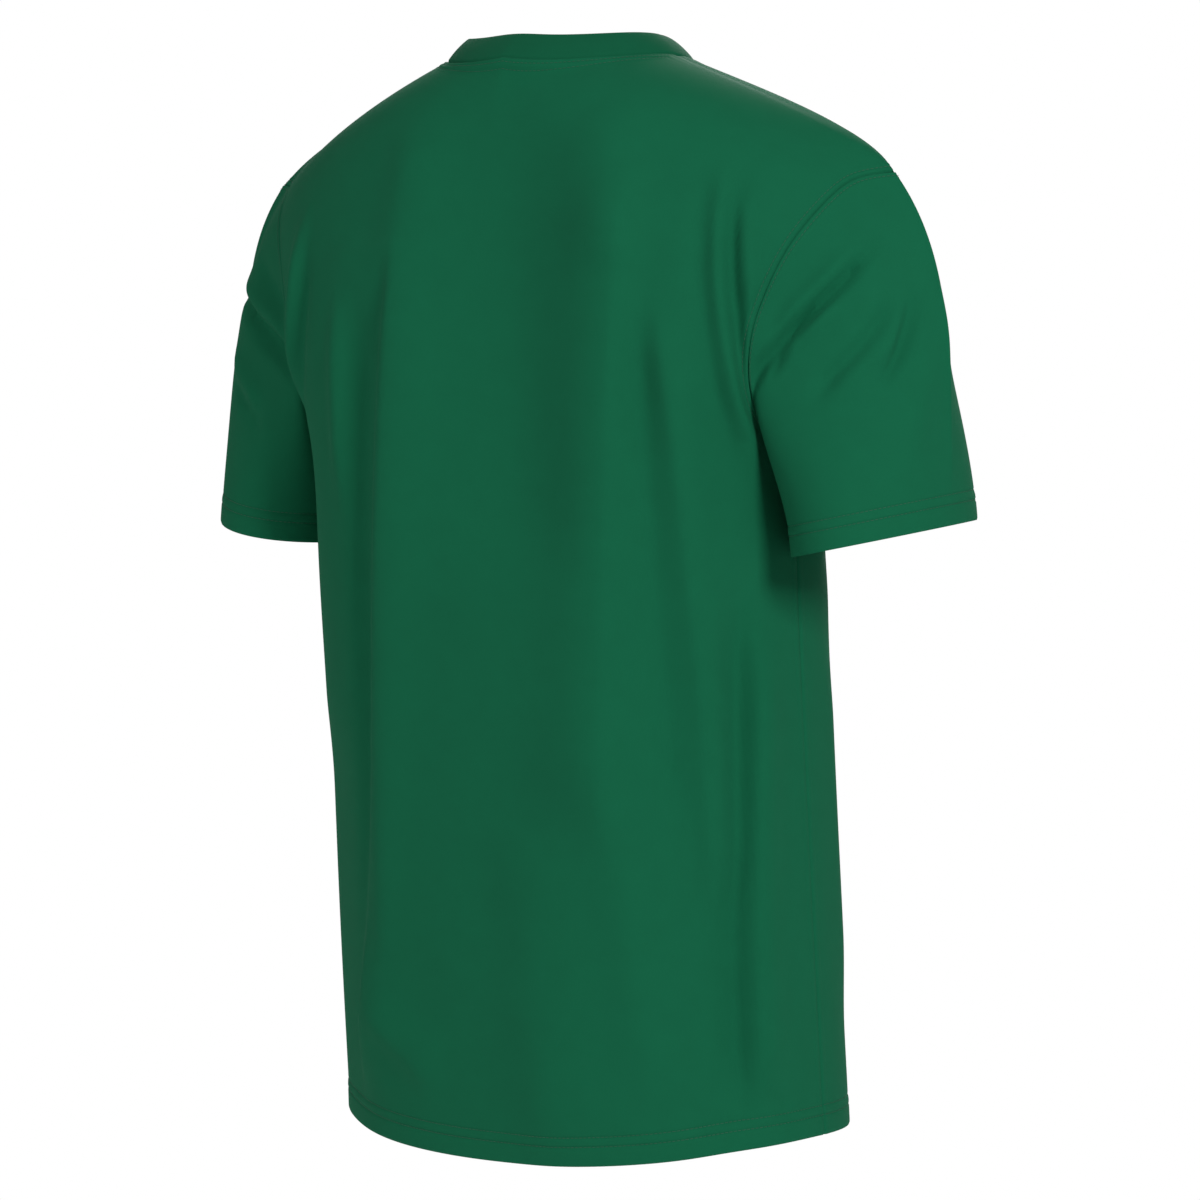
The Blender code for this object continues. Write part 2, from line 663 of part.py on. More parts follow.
def main() -> None:
    """Clears the scene and makes the five pieces."""
    for old in list(bpy.data.objects):
        bpy.data.objects.remove(old)
    body = Body()
    jersey = cloth_material("jersey", GREEN)
    band = cloth_material("collar_band", GREEN_BAND)
    cloth_object("back", body_piece(body, "back", BACK_FOLDS), CLOTH_WALL, jersey)
    cloth_object("front", body_piece(body, "front", FRONT_FOLDS), CLOTH_WALL, jersey)
    left = sleeve_piece(body, LEFT_SLEEVE_FOLDS)
    cloth_object("sleeve_left", left, CLOTH_WALL, jersey, closed=True)
    right = sleeve_piece(body, RIGHT_SLEEVE_FOLDS)
    right = Sheet(right.points * MIRROR, right.normals * MIRROR)
    cloth_object("sleeve_right", right, CLOTH_WALL, jersey, closed=True)
    cloth_object("collar", band_piece(body), BAND_WALL, band, closed=True)


main()
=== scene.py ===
"""The looks of a plain green crew-neck T-shirt, filled out as it hangs when worn, with nobody in it.

Each cut piece is a thin shell of jersey on its solid's form. The form is worked out from the same
rows as the solids, in a far finer grid, and raised along listed folds. Sewn edges dip into
their seams, and hem and cuffs are turned up and sewn with a twin needle.

Tables are in millimetres and meshes in metres. The wearer faces -Y and the wearer's left is +X.
"""

import logging
import math
from dataclasses import dataclass, field
from enum import Enum
from typing import Callable, NamedTuple

import bpy
import numpy as np
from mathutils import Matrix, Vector, kdtree


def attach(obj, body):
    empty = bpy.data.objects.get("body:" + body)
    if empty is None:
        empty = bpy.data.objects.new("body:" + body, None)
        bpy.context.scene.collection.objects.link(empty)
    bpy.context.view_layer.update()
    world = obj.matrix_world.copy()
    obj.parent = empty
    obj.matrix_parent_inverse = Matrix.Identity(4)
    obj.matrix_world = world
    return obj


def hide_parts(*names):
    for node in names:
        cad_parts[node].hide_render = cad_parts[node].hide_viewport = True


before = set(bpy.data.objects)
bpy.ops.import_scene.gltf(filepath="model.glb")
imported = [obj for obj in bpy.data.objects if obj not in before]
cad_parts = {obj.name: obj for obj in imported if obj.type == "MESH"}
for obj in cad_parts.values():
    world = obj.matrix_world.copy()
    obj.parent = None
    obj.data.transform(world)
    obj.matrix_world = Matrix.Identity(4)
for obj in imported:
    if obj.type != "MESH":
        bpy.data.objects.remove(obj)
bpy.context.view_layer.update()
LOG = logging.getLogger("t_shirt")

MM = 0.001
BODY_NAME = "root"
MIRROR = np.array((-1.0, 1.0, 1.0))


class Side(Enum):
    """The two halves of the body."""

    BACK = "back"
    FRONT = "front"


class Seam(Enum):
    """The seams and edges that have stitched rows."""

    HEM = "hem"
    NECK = "neck"
    ARMHOLE_LEFT = "armhole_left"
    ARMHOLE_RIGHT = "armhole_right"
    CUFF_LEFT = "cuff_left"
    CUFF_RIGHT = "cuff_right"


class Hand(Enum):
    """The wearer's left and right, with the sign of X on that side."""

    LEFT = 1
    RIGHT = -1

    @property
    def armhole(self) -> Seam:
        """The seam of the sleeve's armhole."""
        return Seam.ARMHOLE_LEFT if self is Hand.LEFT else Seam.ARMHOLE_RIGHT

    @property
    def cuff(self) -> Seam:
        """The seam of the sleeve's cuff."""
        return Seam.CUFF_LEFT if self is Hand.LEFT else Seam.CUFF_RIGHT


class Slot(Enum):
    """Names for the two material slots; nothing here uses them."""

    JERSEY = "jersey"
    RIB = "collar_rib"


# ---------------------------------------------------------------- the worn form


class BodyRow(NamedTuple):
    """One line across half of the body: a cubic arc from the centre line to the side."""

    centre_y: float
    centre_z: float
    fall: float
    reach: float
    side_x: float
    side_y: float
    side_z: float
    lead_x: float
    lead_y: float
    lead_z: float


# From the back hem up to the row before the shoulder ridge
BACK_ROWS = (
    BodyRow(96, -740, 0, 118, 185, -30, -722, 0, 84, 0),
    BodyRow(110, -570, 0, 118, 184, -17, -570, 0, 84, 0),
    BodyRow(121, -434, 0, 118, 183, -6, -434, 0, 84, 0),
    BodyRow(127, -339, 0, 118, 182, 0, -339, 0, 92, 0),
    BodyRow(127, -258, 0, 118, 187, 0, -258, 0, 102, 0),
    BodyRow(125, -206, 1, 116, 207, 0, -212, 0, 98, 4),
    BodyRow(121, -160, 2, 112, 224, 0, -178, -4, 90, 8),
    BodyRow(114, -114, 3, 108, 237, 0, -152, -10, 82, 16),
    BodyRow(104, -68, 6, 105, 247, 0, -128, -18, 68, 22),
    BodyRow(90, -18, 12, 102, 252, -2, -107, -26, 44, 26),
    BodyRow(50, 18, 26, 100, 254, -4, -92, -29, 14, 29),
)
# The shoulder ridge, which the shoulder seam follows beyond the neck point
RIDGE_ROW = BodyRow(5, 34, 46, 100, 253, -5, -83, -28, -8, 34)
# From the row after the ridge down to the front hem
FRONT_ROWS = (
    BodyRow(-50, 0, 18, 100, 254, -4, -92, -29, -26, 40),
    BodyRow(-93, -79, 10, 102, 252, -2, -107, -26, -44, 26),
    BodyRow(-109, -116, 6, 105, 246, 0, -128, -18, -66, 22),
    BodyRow(-120, -152, 3, 108, 235, 0, -152, -10, -80, 16),
    BodyRow(-126, -184, 2, 112, 222, 0, -178, -4, -86, 8),
    BodyRow(-128, -216, 1, 114, 206, 0, -212, 0, -92, 4),
    BodyRow(-128, -258, 0, 114, 187, 0, -258, 0, -92, 0),
    BodyRow(-129, -339, 0, 114, 182, 0, -339, 0, -84, 0),
    BodyRow(-134, -434, 0, 114, 183, -6, -434, 0, -78, 0),
    BodyRow(-143, -570, 0, 114, 184, -17, -570, 0, -76, 0),
    BodyRow(-154, -726, 0, 114, 185, -30, -722, 0, -76, 0),
)


class ArmholePoint(NamedTuple):
    """A height on the armhole, and how far back and forward it reaches there."""

    z: float
    back_y: float
    front_y: float


# From the underarm up to the shoulder tip
ARMHOLE = (
    ArmholePoint(-258, 0, 0),
    ArmholePoint(-254, 27, -26),
    ArmholePoint(-240, 51, -48),
    ArmholePoint(-200, 68, -63),
    ArmholePoint(-162, 64, -61),
    ArmholePoint(-130, 53, -52),
    ArmholePoint(-101, 32, -37),
    ArmholePoint(-87, 12, -21),
    ArmholePoint(-83, -5, -5),
)


class Fold(NamedTuple):
    """A soft ridge, or a trough where `height` is negative, along a bent line on the flat cloth.

    `across` and `up` are places on the cloth: on a body piece, the way from the centre line along
    its row, positive to the wearer's left, and the height; on a sleeve, the way round from the
    shoulder tip, positive towards the back, and the way down from the armhole, negative. `right`
    and `left` are how wide the fold is on either side of its line, going from start to end.
    """

    start_across: float
    start_up: float
    middle_across: float
    middle_up: float
    end_across: float
    end_up: float
    right: float
    left: float
    height: float


BACK_FOLDS = (
    # the drape that hangs from the right shoulder blade and turns in under the arm
    Fold(-188, -60, -186, -170, -222, -310, 7, 10, 7.4),
    Fold(-174, -70, -177, -170, -200, -290, 9, 11, -4.0),
    Fold(-200, -66, -196, -158, -232, -270, 6, 6, -5.2),
    Fold(-199, -94, -206, -145, -219, -196, 8, 6, 4.5),
    # the same on the left
    Fold(183, -92, 184, -150, 206, -250, 9, 12, 5.8),
    Fold(171, -120, 172, -180, 186, -250, 11, 8, -3.8),
    # the long crests that fall down the back, from the wearer's left to the right
    Fold(122, -146, 117, -220, 111, -318, 9, 9, 3.9),
    Fold(99, -150, 90, -340, 106, -650, 13, 12, -4.8),
    Fold(62, -110, 76, -410, 128, -722, 30, 9, 8.7),
    Fold(6, 30, -28, -170, -44, -370, 52, 62, -9.2),
    Fold(0, -60, -40, -300, -14, -640, 46, 52, -3.2),
    Fold(158, -430, 148, -600, 152, -770, 42, 34, -4.4),
    Fold(-36, -480, -41, -612, -55, -770, 28, 24, 3.4),
    Fold(-112, -60, -106, -300, -96, -540, 14, 36, 8.1),
    Fold(-92, -400, -78, -590, -74, -770, 56, 44, 4.6),
    Fold(-98, -430, -112, -600, -128, -722, 14, 16, 2.7),
    Fold(-160, -500, -168, -620, -170, -770, 28, 26, -4.8),
    Fold(-124, -160, -138, -330, -146, -540, 10, 9, -4.3),
    Fold(-140, -152, -163, -340, -172, -590, 18, 10, 7.4),
    Fold(-202, -340, -190, -500, -184, -722, 7, 15, -6.9),
    Fold(-216, -370, -203, -530, -199, -715, 18, 8, 6.9),
    # the shelves where the cloth breaks over the shoulder blades
    Fold(-84, -134, -136, -131, -190, -126, 28, 12, 2.0),
    Fold(150, -138, 104, -136, 44, -134, 12, 26, 2.2),
    # the falls from the neck
    Fold(-76, -30, -97, -85, -110, -160, 26, 30, 6.1),
    Fold(64, -34, 62, -90, 64, -160, 26, 22, 4.8),
    # a soft break above the hem
    Fold(114, -638, 80, -664, 34, -700, 24, 13, 4.3),
)
FRONT_FOLDS = (
    # the drapes below the front armholes
    Fold(176, -110, 194, -215, 226, -350, 12, 17, 6.0),
    Fold(160, -140, 178, -240, 206, -340, 16, 16, -2.8),
    Fold(-178, -110, -195, -215, -227, -360, 17, 12, 6.0),
    Fold(-158, -150, -170, -240, -196, -370, 16, 16, -3.0),
    # the long falls from the chest
    Fold(-92, -190, -84, -330, -98, -560, 22, 22, 3.0),
    Fold(-48, -230, -40, -400, -52, -640, 26, 26, -2.8),
    Fold(30, -240, 22, -430, 34, -690, 28, 28, 2.4),
    Fold(84, -200, 92, -350, 84, -560, 20, 20, 3.0),
    Fold(126, -280, 134, -470, 150, -700, 20, 20, -3.2),
    Fold(-140, -360, -152, -520, -168, -700, 18, 18, -2.8),
    Fold(190, -420, 186, -560, 178, -690, 15, 15, 2.4),
    Fold(-208, -380, -200, -520, -196, -660, 16, 16, 2.4),
)
LEFT_SLEEVE_FOLDS = (
    Fold(-2, -88, 64, -57, 134, -6, 5, 5, -6.8),
    Fold(16, -72, 64, -46, 118, -8, 7, 7, 3.5),
    Fold(48, -77, 99, -41, 146, -4, 4, 4, -3.0),
    Fold(34, -38, 68, -26, 106, -6, 7, 7, -3.0),
    Fold(34, -108, 66, -99, 96, -84, 8, 8, 3.0),
    Fold(50, -116, 78, -104, 104, -86, 6, 6, -2.4),
    Fold(-18, -56, -64, -48, -118, -14, 7, 7, -5.9),
    Fold(-30, -68, -64, -62, -104, -32, 8, 8, 3.2),
    Fold(-26, -96, -60, -88, -96, -62, 9, 9, -3.2),
    Fold(-40, -118, -62, -112, -84, -98, 10, 10, 2.4),
)
RIGHT_SLEEVE_FOLDS = (
    Fold(158, 8, 78, -41, 0, -40, 5, 5, -6.8),
    Fold(100, -22, 66, -34, 30, -36, 6, 6, 3.2),
    Fold(102, -36, 80, -48, 46, -54, 5, 5, 3.2),
    Fold(118, -32, 94, -43, 66, -58, 4, 4, -3.2),
    Fold(92, -75, 56, -88, 18, -78, 6, 6, -3.8),
    Fold(84, -93, 52, -101, 22, -92, 9, 9, 2.2),
    Fold(56, -126, 30, -112, 10, -78, 6, 7, -4.3),
    Fold(50, -112, 31, -100, 18, -78, 7, 7, 2.4),
    Fold(4, -80, 19, -140, 36, -196, 16, 12, 3.0),
    Fold(-20, -50, -62, -44, -114, -14, 7, 7, -5.7),
    Fold(-28, -64, -62, -58, -104, -30, 8, 8, 3.2),
    Fold(-30, -92, -62, -84, -98, -58, 9, 9, -3.2),
    Fold(-16, -120, -44, -112, -74, -94, 9, 9, -2.4),
)


# ---------------------------------------------------------------- geometry by numbers

HALVINGS = 26
FINE_STEPS = 400
SMALL_SHARE = 0.001
SMALL_STEP = 0.5
LINE_SPACING = 0.5
FOLD_SAMPLES = 61
FOLD_END = 70  # a fold rises over this much of its line at each end
FOLD_END_SHARE = 0.35  # or over this share of it, if that is less
FOLD_WIDTHS = 3  # a fold is flat beyond this many of its widths


def bezier(control: np.ndarray, at: np.ndarray) -> np.ndarray:
    """Points on cubic arcs.

    Args:
        control: four control points for each arc, shape (..., 4, 3).
        at: how far along each arc, 0 to 1, shape (...).

    Returns:
        The points, shape (..., 3).
    """
    rest = 1 - at
    weights = np.stack([rest**3, 3 * rest**2 * at, 3 * rest * at**2, at**3], axis=-1)
    return (weights[..., None] * control).sum(axis=-2)


def smooth_through(knots: np.ndarray, values: np.ndarray) -> Callable[[np.ndarray], np.ndarray]:
    """A natural cubic spline.

    Args:
        knots: rising positions, shape (n,).
        values: what the curve passes through there, shape (n, ...).

    Returns:
        A function from positions to values.
    """
    count = len(knots)
    gaps = np.diff(knots)
    slopes = np.diff(values, axis=0) / gaps[(...,) + (None,) * (values.ndim - 1)]
    system = np.eye(count)
    right = np.zeros_like(values)
    for i in range(1, count - 1):
        system[i, i - 1 : i + 2] = gaps[i - 1], 2 * (gaps[i - 1] + gaps[i]), gaps[i]
        right[i] = 6 * (slopes[i] - slopes[i - 1])
    bend = np.linalg.solve(system, right.reshape(count, -1)).reshape(values.shape)

    def curve(at: np.ndarray) -> np.ndarray:
        """The curve's values.

        Args:
            at: positions between the first knot and the last.

        Returns:
            The values there.
        """
        place = np.clip(np.searchsorted(knots, at, side="right") - 1, 0, count - 2)
        shape = (...,) + (None,) * (values.ndim - 1)
        gap = gaps[place][shape]
        far = (at - knots[place])[shape] / gap
        near = 1 - far
        swing = (near**3 - near) * bend[place] + (far**3 - far) * bend[place + 1]
        return near * values[place] + far * values[place + 1] + swing * gap**2 / 6

    return curve


def solve_between(
    low: np.ndarray, high: np.ndarray, below: Callable[[np.ndarray], np.ndarray]
) -> np.ndarray:
    """The places where a condition stops being true, by halving.

    Args:
        low: places where it is true.
        high: places where it isn't.
        below: the condition.

    Returns:
        The places between them.
    """
    for _ in range(HALVINGS):
        middle = (low + high) / 2
        under = below(middle)
        low = np.where(under, middle, low)
        high = np.where(under, high, middle)
    return (low + high) / 2


def along_line(points: np.ndarray) -> np.ndarray:
    """How far along a line each of its points lies."""
    return np.concatenate([[0.0], np.cumsum(np.linalg.norm(np.diff(points, axis=0), axis=1))])


def climbed(points: np.ndarray) -> np.ndarray:
    """How far along its column each point of a grid lies."""
    steps = np.linalg.norm(np.diff(points, axis=0), axis=2)
    return np.concatenate([np.zeros((1, points.shape[1])), np.cumsum(steps, axis=0)])


def unit(vectors: np.ndarray) -> np.ndarray:
    """The vectors at length 1."""
    return vectors / np.linalg.norm(vectors, axis=-1, keepdims=True)


def ease(share: np.ndarray) -> np.ndarray:
    """0 to 1, with a soft start and end."""
    share = np.clip(share, 0, 1)
    return share * share * (3 - 2 * share)


def bump_at(distance: np.ndarray, centre: float, half_width: float) -> np.ndarray:
    """A soft bump of height 1 across a distance."""
    return np.exp(-(((distance - centre) / half_width) ** 2))


def smooth_round(values: np.ndarray, reach: float) -> np.ndarray:
    """Values round a ring, each a mean of its neighbours.

    Args:
        values: the values, shape (n, 3).
        reach: how far the mean spreads, as a share of the ring.

    Returns:
        The smoothed values.
    """
    count = len(values)
    steps = np.arange(count)
    apart = np.minimum(steps, count - steps) / count
    weights = np.exp(-((apart / reach) ** 2))
    around = (steps[:, None] - steps) % count
    return (weights / weights.sum())[around] @ values


def round_ring(points: np.ndarray) -> np.ndarray:
    """The way round closed rings at each point.

    Args:
        points: rings whose last point repeats the first, shape (..., n, 3).

    Returns:
        From the neighbour behind each point to the one ahead.
    """
    around = np.empty_like(points)
    around[..., 1:-1, :] = points[..., 2:, :] - points[..., :-2, :]
    around[..., 0, :] = around[..., -1, :] = points[..., 1, :] - points[..., -2, :]
    return around


def resample(line: np.ndarray, spacing: float) -> np.ndarray:
    """A line's points, laid again.

    Args:
        line: the points in order; more than three values may stand in a row.
        spacing: the even distance from one new point to the next.

    Returns:
        The new points.
    """
    length = along_line(line)
    even = np.arange(0, length[-1], spacing)
    return np.stack([np.interp(even, length, values) for values in line.T], axis=1)


def distance_to(points: np.ndarray, line: np.ndarray) -> np.ndarray:
    """How far each point lies from a line.

    Args:
        points: shape (..., 3).
        line: the line's points in order, shape (n, 3).

    Returns:
        The distances, shape (...).
    """
    dense = resample(line, LINE_SPACING)
    tree = kdtree.KDTree(len(dense))
    for index, place in enumerate(dense):
        tree.insert(place, index)
    tree.balance()
    found = np.array([tree.find(place)[2] for place in points.reshape(-1, 3)])
    return found.reshape(points.shape[:-1])


def distance_to_both(points: np.ndarray, line: np.ndarray) -> np.ndarray:
    """How far each point lies from the nearer of a line and its mirror image."""
    return np.minimum(distance_to(points, line), distance_to(points, line * MIRROR))


def relief(across: np.ndarray, up: np.ndarray, folds: tuple[Fold, ...]) -> np.ndarray:
    """How far each point of a cloth is raised by its folds.

    Args:
        across: each point's place across the flat cloth.
        up: each point's place up the flat cloth.
        folds: the rows of the piece's fold table.

    Returns:
        The height of each point, positive outwards.
    """
    raised = np.zeros_like(across)
    share = np.linspace(0, 1, FOLD_SAMPLES)[:, None]
    for fold in folds:
        start = np.array((fold.start_across, fold.start_up), float)
        middle = np.array((fold.middle_across, fold.middle_up), float)
        end = np.array((fold.end_across, fold.end_up), float)
        turn = 2 * middle - (start + end) / 2
        line = (1 - share) ** 2 * start + 2 * share * (1 - share) * turn + share**2 * end
        heading = unit(np.gradient(line, axis=0))
        length = along_line(line)
        reach = FOLD_WIDTHS * max(fold.right, fold.left)
        low = line.min(axis=0) - reach
        high = line.max(axis=0) + reach
        near = (across > low[0]) & (across < high[0]) & (up > low[1]) & (up < high[1])
        place = np.stack([across[near], up[near]], axis=-1)
        apart = place[:, None] - line
        nearest = np.linalg.norm(apart, axis=-1).argmin(axis=-1)
        offset = apart[np.arange(len(place)), nearest]
        course = heading[nearest]
        beside = course[:, 0] * offset[:, 1] - course[:, 1] * offset[:, 0]
        reached = (length[nearest] + (course * offset).sum(axis=1)) / length[-1]
        fade = ease(np.minimum(reached, 1 - reached) * max(length[-1] / FOLD_END, 1 / FOLD_END_SHARE))
        width = np.where(beside > 0, fold.left, fold.right)
        raised[near] += fold.height * fade * np.exp(-((beside / width) ** 2))
    return raised


def stepped(offsets: tuple[float, ...], length: float, spacing: float) -> np.ndarray:
    """Positions along a length, close together at its start and even beyond.

    Args:
        offsets: the close positions, from 0.
        length: the whole length.
        spacing: about how far apart the even ones are.

    Returns:
        The rising positions from 0 to `length`.
    """
    count = max(int(round((length - offsets[-1]) / spacing)), 1)
    return np.concatenate([offsets, np.linspace(offsets[-1], length, count + 1)[1:]])


@dataclass
class WornForm:
    """The smooth form that the back and the front are cut from, and the neck and armholes in it.

    Attributes:
        neck_half_width: from the centre line to a neck point.
        neck_back: how far back the neck seam reaches, seen from above.
        neck_front: how far forward.
        underarm_row: the row through the underarm, counted from a hem.
        lowest_neck_row: a row that lies below the whole neck seam, counted from a hem.
        middle_share: a share of a row that lies inside the armholes.
        tip_share: the rows double back where the ridge ends, so normals are read inside this share.
        tip_reach: how far from the ridge that holds.
        arcs_at: gives the rows' control points at any place between the hems.
        ridge: the place of the shoulder ridge.
        hem: the places of the two hems.
        underarm: the places of the two underarm rows.
        below_neck: the places of the two lowest neck rows.
        neck_share: the share of the ridge at which the neck point lies.
    """

    neck_half_width: float = 87.0
    neck_back: float = 79.0
    neck_front: float = 92.0
    underarm_row: int = 4
    lowest_neck_row: int = 7
    middle_share: float = 0.4
    tip_share: float = 0.96
    tip_reach: float = 40.0
    arcs_at: Callable[[np.ndarray], np.ndarray] = field(init=False)
    ridge: float = field(init=False)
    hem: dict[Side, float] = field(init=False)
    underarm: dict[Side, float] = field(init=False)
    below_neck: dict[Side, float] = field(init=False)
    neck_share: float = field(init=False)

    def __post_init__(self) -> None:
        """Works out the spline that carries one row into the next."""
        rows = BACK_ROWS + (RIDGE_ROW,) + FRONT_ROWS
        arcs = []
        for row in rows:
            edge = np.array((row.side_x, row.side_y, row.side_z), float)
            centre = (0, row.centre_y, row.centre_z)
            reach = (row.reach, row.centre_y, row.centre_z - row.fall)
            arcs.append((centre, reach, edge + (row.lead_x, row.lead_y, row.lead_z), edge))
        arcs = np.array(arcs, float)
        steps = np.linalg.norm(np.diff(arcs, axis=0), axis=2).mean(axis=1)
        knots = np.concatenate([[0.0], np.cumsum(steps)])
        self.arcs_at = smooth_through(knots, arcs)
        self.ridge = knots[len(BACK_ROWS)]
        self.hem, self.underarm, self.below_neck = (
            {Side.BACK: knots[row], Side.FRONT: knots[len(rows) - 1 - row]}
            for row in (0, self.underarm_row, self.lowest_neck_row)
        )
        self.neck_share = float(
            solve_between(0.0, 1.0, lambda at: self.point(at, self.ridge)[..., 0] < self.neck_half_width)
        )

    def point(self, share: np.ndarray, row: np.ndarray) -> np.ndarray:
        """The points `share` of the way from the centre line to the side, on the given rows."""
        share, row = np.broadcast_arrays(np.asarray(share, float), np.asarray(row, float))
        return bezier(self.arcs_at(row), share)

    def normal(self, share: np.ndarray, row: np.ndarray) -> np.ndarray:
        """The form's outward normals.

        Args:
            share: how far from the centre line to the side.
            row: the place between the hems.

        Returns:
            The normals there.
        """
        beside_ridge = ease(1 - np.abs(row - self.ridge) / self.tip_reach)
        share = np.minimum(share, 1 - (1 - self.tip_share) * beside_ridge)
        across = self.point(share + SMALL_SHARE, row) - self.point(share - SMALL_SHARE, row)
        along = self.point(share, row + SMALL_STEP) - self.point(share, row - SMALL_STEP)
        return unit(np.cross(along, across))

    def neck_places(self, side: Side, turns: np.ndarray) -> tuple[np.ndarray, np.ndarray]:
        """Places on the neck seam.

        Args:
            side: back or front.
            turns: angles round the neck from the centre line, under a quarter turn.

        Returns:
            Their shares and rows.
        """
        depth = self.neck_back if side is Side.BACK else self.neck_front
        aside = self.neck_half_width * np.sin(turns)
        low = np.full(len(turns), self.below_neck[side])
        high = np.full(len(turns), self.ridge)

        def rows_on(shares: np.ndarray) -> np.ndarray:
            """The rows on which columns meet the seam.

            Args:
                shares: the columns' shares.

            Returns:
                Their rows.
            """

            def outside(rows: np.ndarray) -> np.ndarray:
                """Whether places lie outside the neck seam, seen from above."""
                place = self.point(shares, rows)
                return np.hypot(place[..., 0] / self.neck_half_width, place[..., 1] / depth) > 1

            return solve_between(low, high, outside)

        shares = solve_between(
            np.zeros(len(turns)),
            np.full(len(turns), self.neck_share),
            lambda at: self.point(at, rows_on(at))[:, 0] < aside,
        )
        return shares, rows_on(shares)

    def armhole_places(self, side: Side, parts: np.ndarray) -> tuple[np.ndarray, np.ndarray]:
        """Places on half of the armhole.

        Args:
            side: back or front.
            parts: rising shares of the way from the underarm, 0, to the shoulder tip, 1.

        Returns:
            Their shares and rows.
        """
        outline = [(p.back_y if side is Side.BACK else p.front_y, p.z) for p in ARMHOLE]
        outline = np.array(outline, float)
        knots = along_line(outline)
        fine = smooth_through(knots, outline)(np.linspace(0, knots[-1], FINE_STEPS))
        length = along_line(fine)
        depth, height = (np.interp(parts[1:-1] * length[-1], length, values) for values in fine.T)
        facing = 1 if side is Side.BACK else -1

        def shares_on(rows: np.ndarray) -> np.ndarray:
            """The shares at which rows meet the armhole's depth.

            Args:
                rows: the rows, one for each depth.

            Returns:
                Their shares.
            """
            inside = np.full(len(rows), self.middle_share)
            return solve_between(
                inside, np.ones(len(rows)), lambda at: self.point(at, rows)[:, 1] * facing > depth * facing
            )

        rows = solve_between(
            np.full(len(depth), self.underarm[side]),
            np.full(len(depth), self.ridge),
            lambda rows: self.point(shares_on(rows), rows)[:, 2] < height,
        )
        shares = np.concatenate([[1.0], shares_on(rows), [1.0]])
        return shares, np.concatenate([[self.underarm[side]], rows, [self.ridge]])


# ---------------------------------------------------------------- sewing

PUFF_SLOPE = 0.35  # the puff sinks over this share of the allowance
DOUBLED_END = 2.0  # and a turned-up layer thins out over this much


@dataclass(frozen=True)
class SeamShape:
    """How cloth lies beside a seam, or beside a turned-up edge.

    Attributes:
        dip: how deep the sewn edge sinks.
        dip_width: how far from the edge that sinking reaches.
        puff: how high the cloth stands over the allowance inside.
        puff_end: where the allowance ends.
        rows: the distances of the stitched rows from the edge.
        row_depth: how deep a stitched row pulls the cloth in.
        row_width: half the width of that groove.
    """

    dip: float
    dip_width: float
    puff: float
    puff_end: float
    rows: tuple[float, ...] = ()
    row_depth: float = 0.0
    row_width: float = 0.8

    def rise(self, distance: np.ndarray) -> np.ndarray:
        """The cloth's height beside the edge.

        Args:
            distance: each point's distance from the edge.

        Returns:
            How far each point is raised.
        """
        raised = self.puff * ease((self.puff_end - distance) / (PUFF_SLOPE * self.puff_end))
        raised = raised - (self.dip + self.puff) * bump_at(distance, 0, self.dip_width)
        for row in self.rows:
            raised = raised - self.row_depth * bump_at(distance, row, self.row_width)
        return raised


NECK_SEAM = SeamShape(dip=0.8, dip_width=1.0, puff=0.5, puff_end=10.0, rows=(3.2, 7.0), row_depth=0.5)
ARMHOLE_SEAM = SeamShape(dip=0.5, dip_width=0.9, puff=0.4, puff_end=7.0, rows=(3.8,), row_depth=0.45)
SHOULDER_SEAM = SeamShape(dip=0.6, dip_width=1.0, puff=0.3, puff_end=7.0)
SIDE_SEAM = SeamShape(dip=0.7, dip_width=1.2, puff=0.25, puff_end=7.0)
HEM_EDGE = SeamShape(dip=0.0, dip_width=0.8, puff=0.5, puff_end=23.0, rows=(13.5, 20.0), row_depth=0.6)

# Where the grids' rows and columns lie beside a seam, and beside a hem
SEWN_OFFSETS = (0, 0.6, 1.2, 1.8, 2.5, 3.2, 3.8, 4.5, 5.4, 6.3, 7.0, 7.8, 9.0, 11.0, 13.5)
HEM_OFFSETS = (
    0, 0.5, 1.2, 2.4, 4.2, 6.4, 8.8, 11.0, 12.3, 13.0, 13.5, 14.0, 14.8, 16.2, 18.0, 19.2, 19.8, 20.4,
    21.2, 22.6, 24.6, 27.2,
)


class Cloth(NamedTuple):
    """A piece of cloth as a grid, rows by columns.

    Attributes:
        points: the outer points in millimetres.
        normals: their outward normals.
        chart: each point's place on the flat cloth in millimetres, across and up.
        doubled: how much of the wall's extra thickness each point has, 0 to 1.
        reach: each point's distance from the edges that have stitched rows, by seam.
    """

    points: np.ndarray
    normals: np.ndarray
    chart: np.ndarray
    doubled: np.ndarray
    reach: dict[Seam, np.ndarray]


class StitchLine(NamedTuple):
    """A line that a row of stitches follows, with the cloth's normals along it."""

    points: np.ndarray
    normals: np.ndarray


def line_at(
    cloth: Cloth, seam: Seam, offset: float, turned: Callable[[np.ndarray], np.ndarray]
) -> StitchLine:
    """The line on a cloth at one distance from an edge.

    Args:
        cloth: the cloth.
        seam: the edge's seam.
        offset: the distance of the line.
        turned: turns a grid so that each of its rows starts at the edge.

    Returns:
        One place for each row of the turned grid.
    """
    points, normals, distance = (turned(grid) for grid in (cloth.points, cloth.normals, cloth.reach[seam]))
    after = np.maximum(np.argmax(distance > offset, axis=1), 1)
    index = np.arange(len(points))
    near = distance[index, after - 1]
    share = np.clip((offset - near) / (distance[index, after] - near), 0, 1)[:, None]
    place, facing = (
        grid[index, after - 1] * (1 - share) + grid[index, after] * share for grid in (points, normals)
    )
    return StitchLine(place, unit(facing))


def deselect_all() -> None:
    """Leaves nothing selected, so that an operator acts only on what it is given."""
    bpy.ops.object.select_all(action="DESELECT")


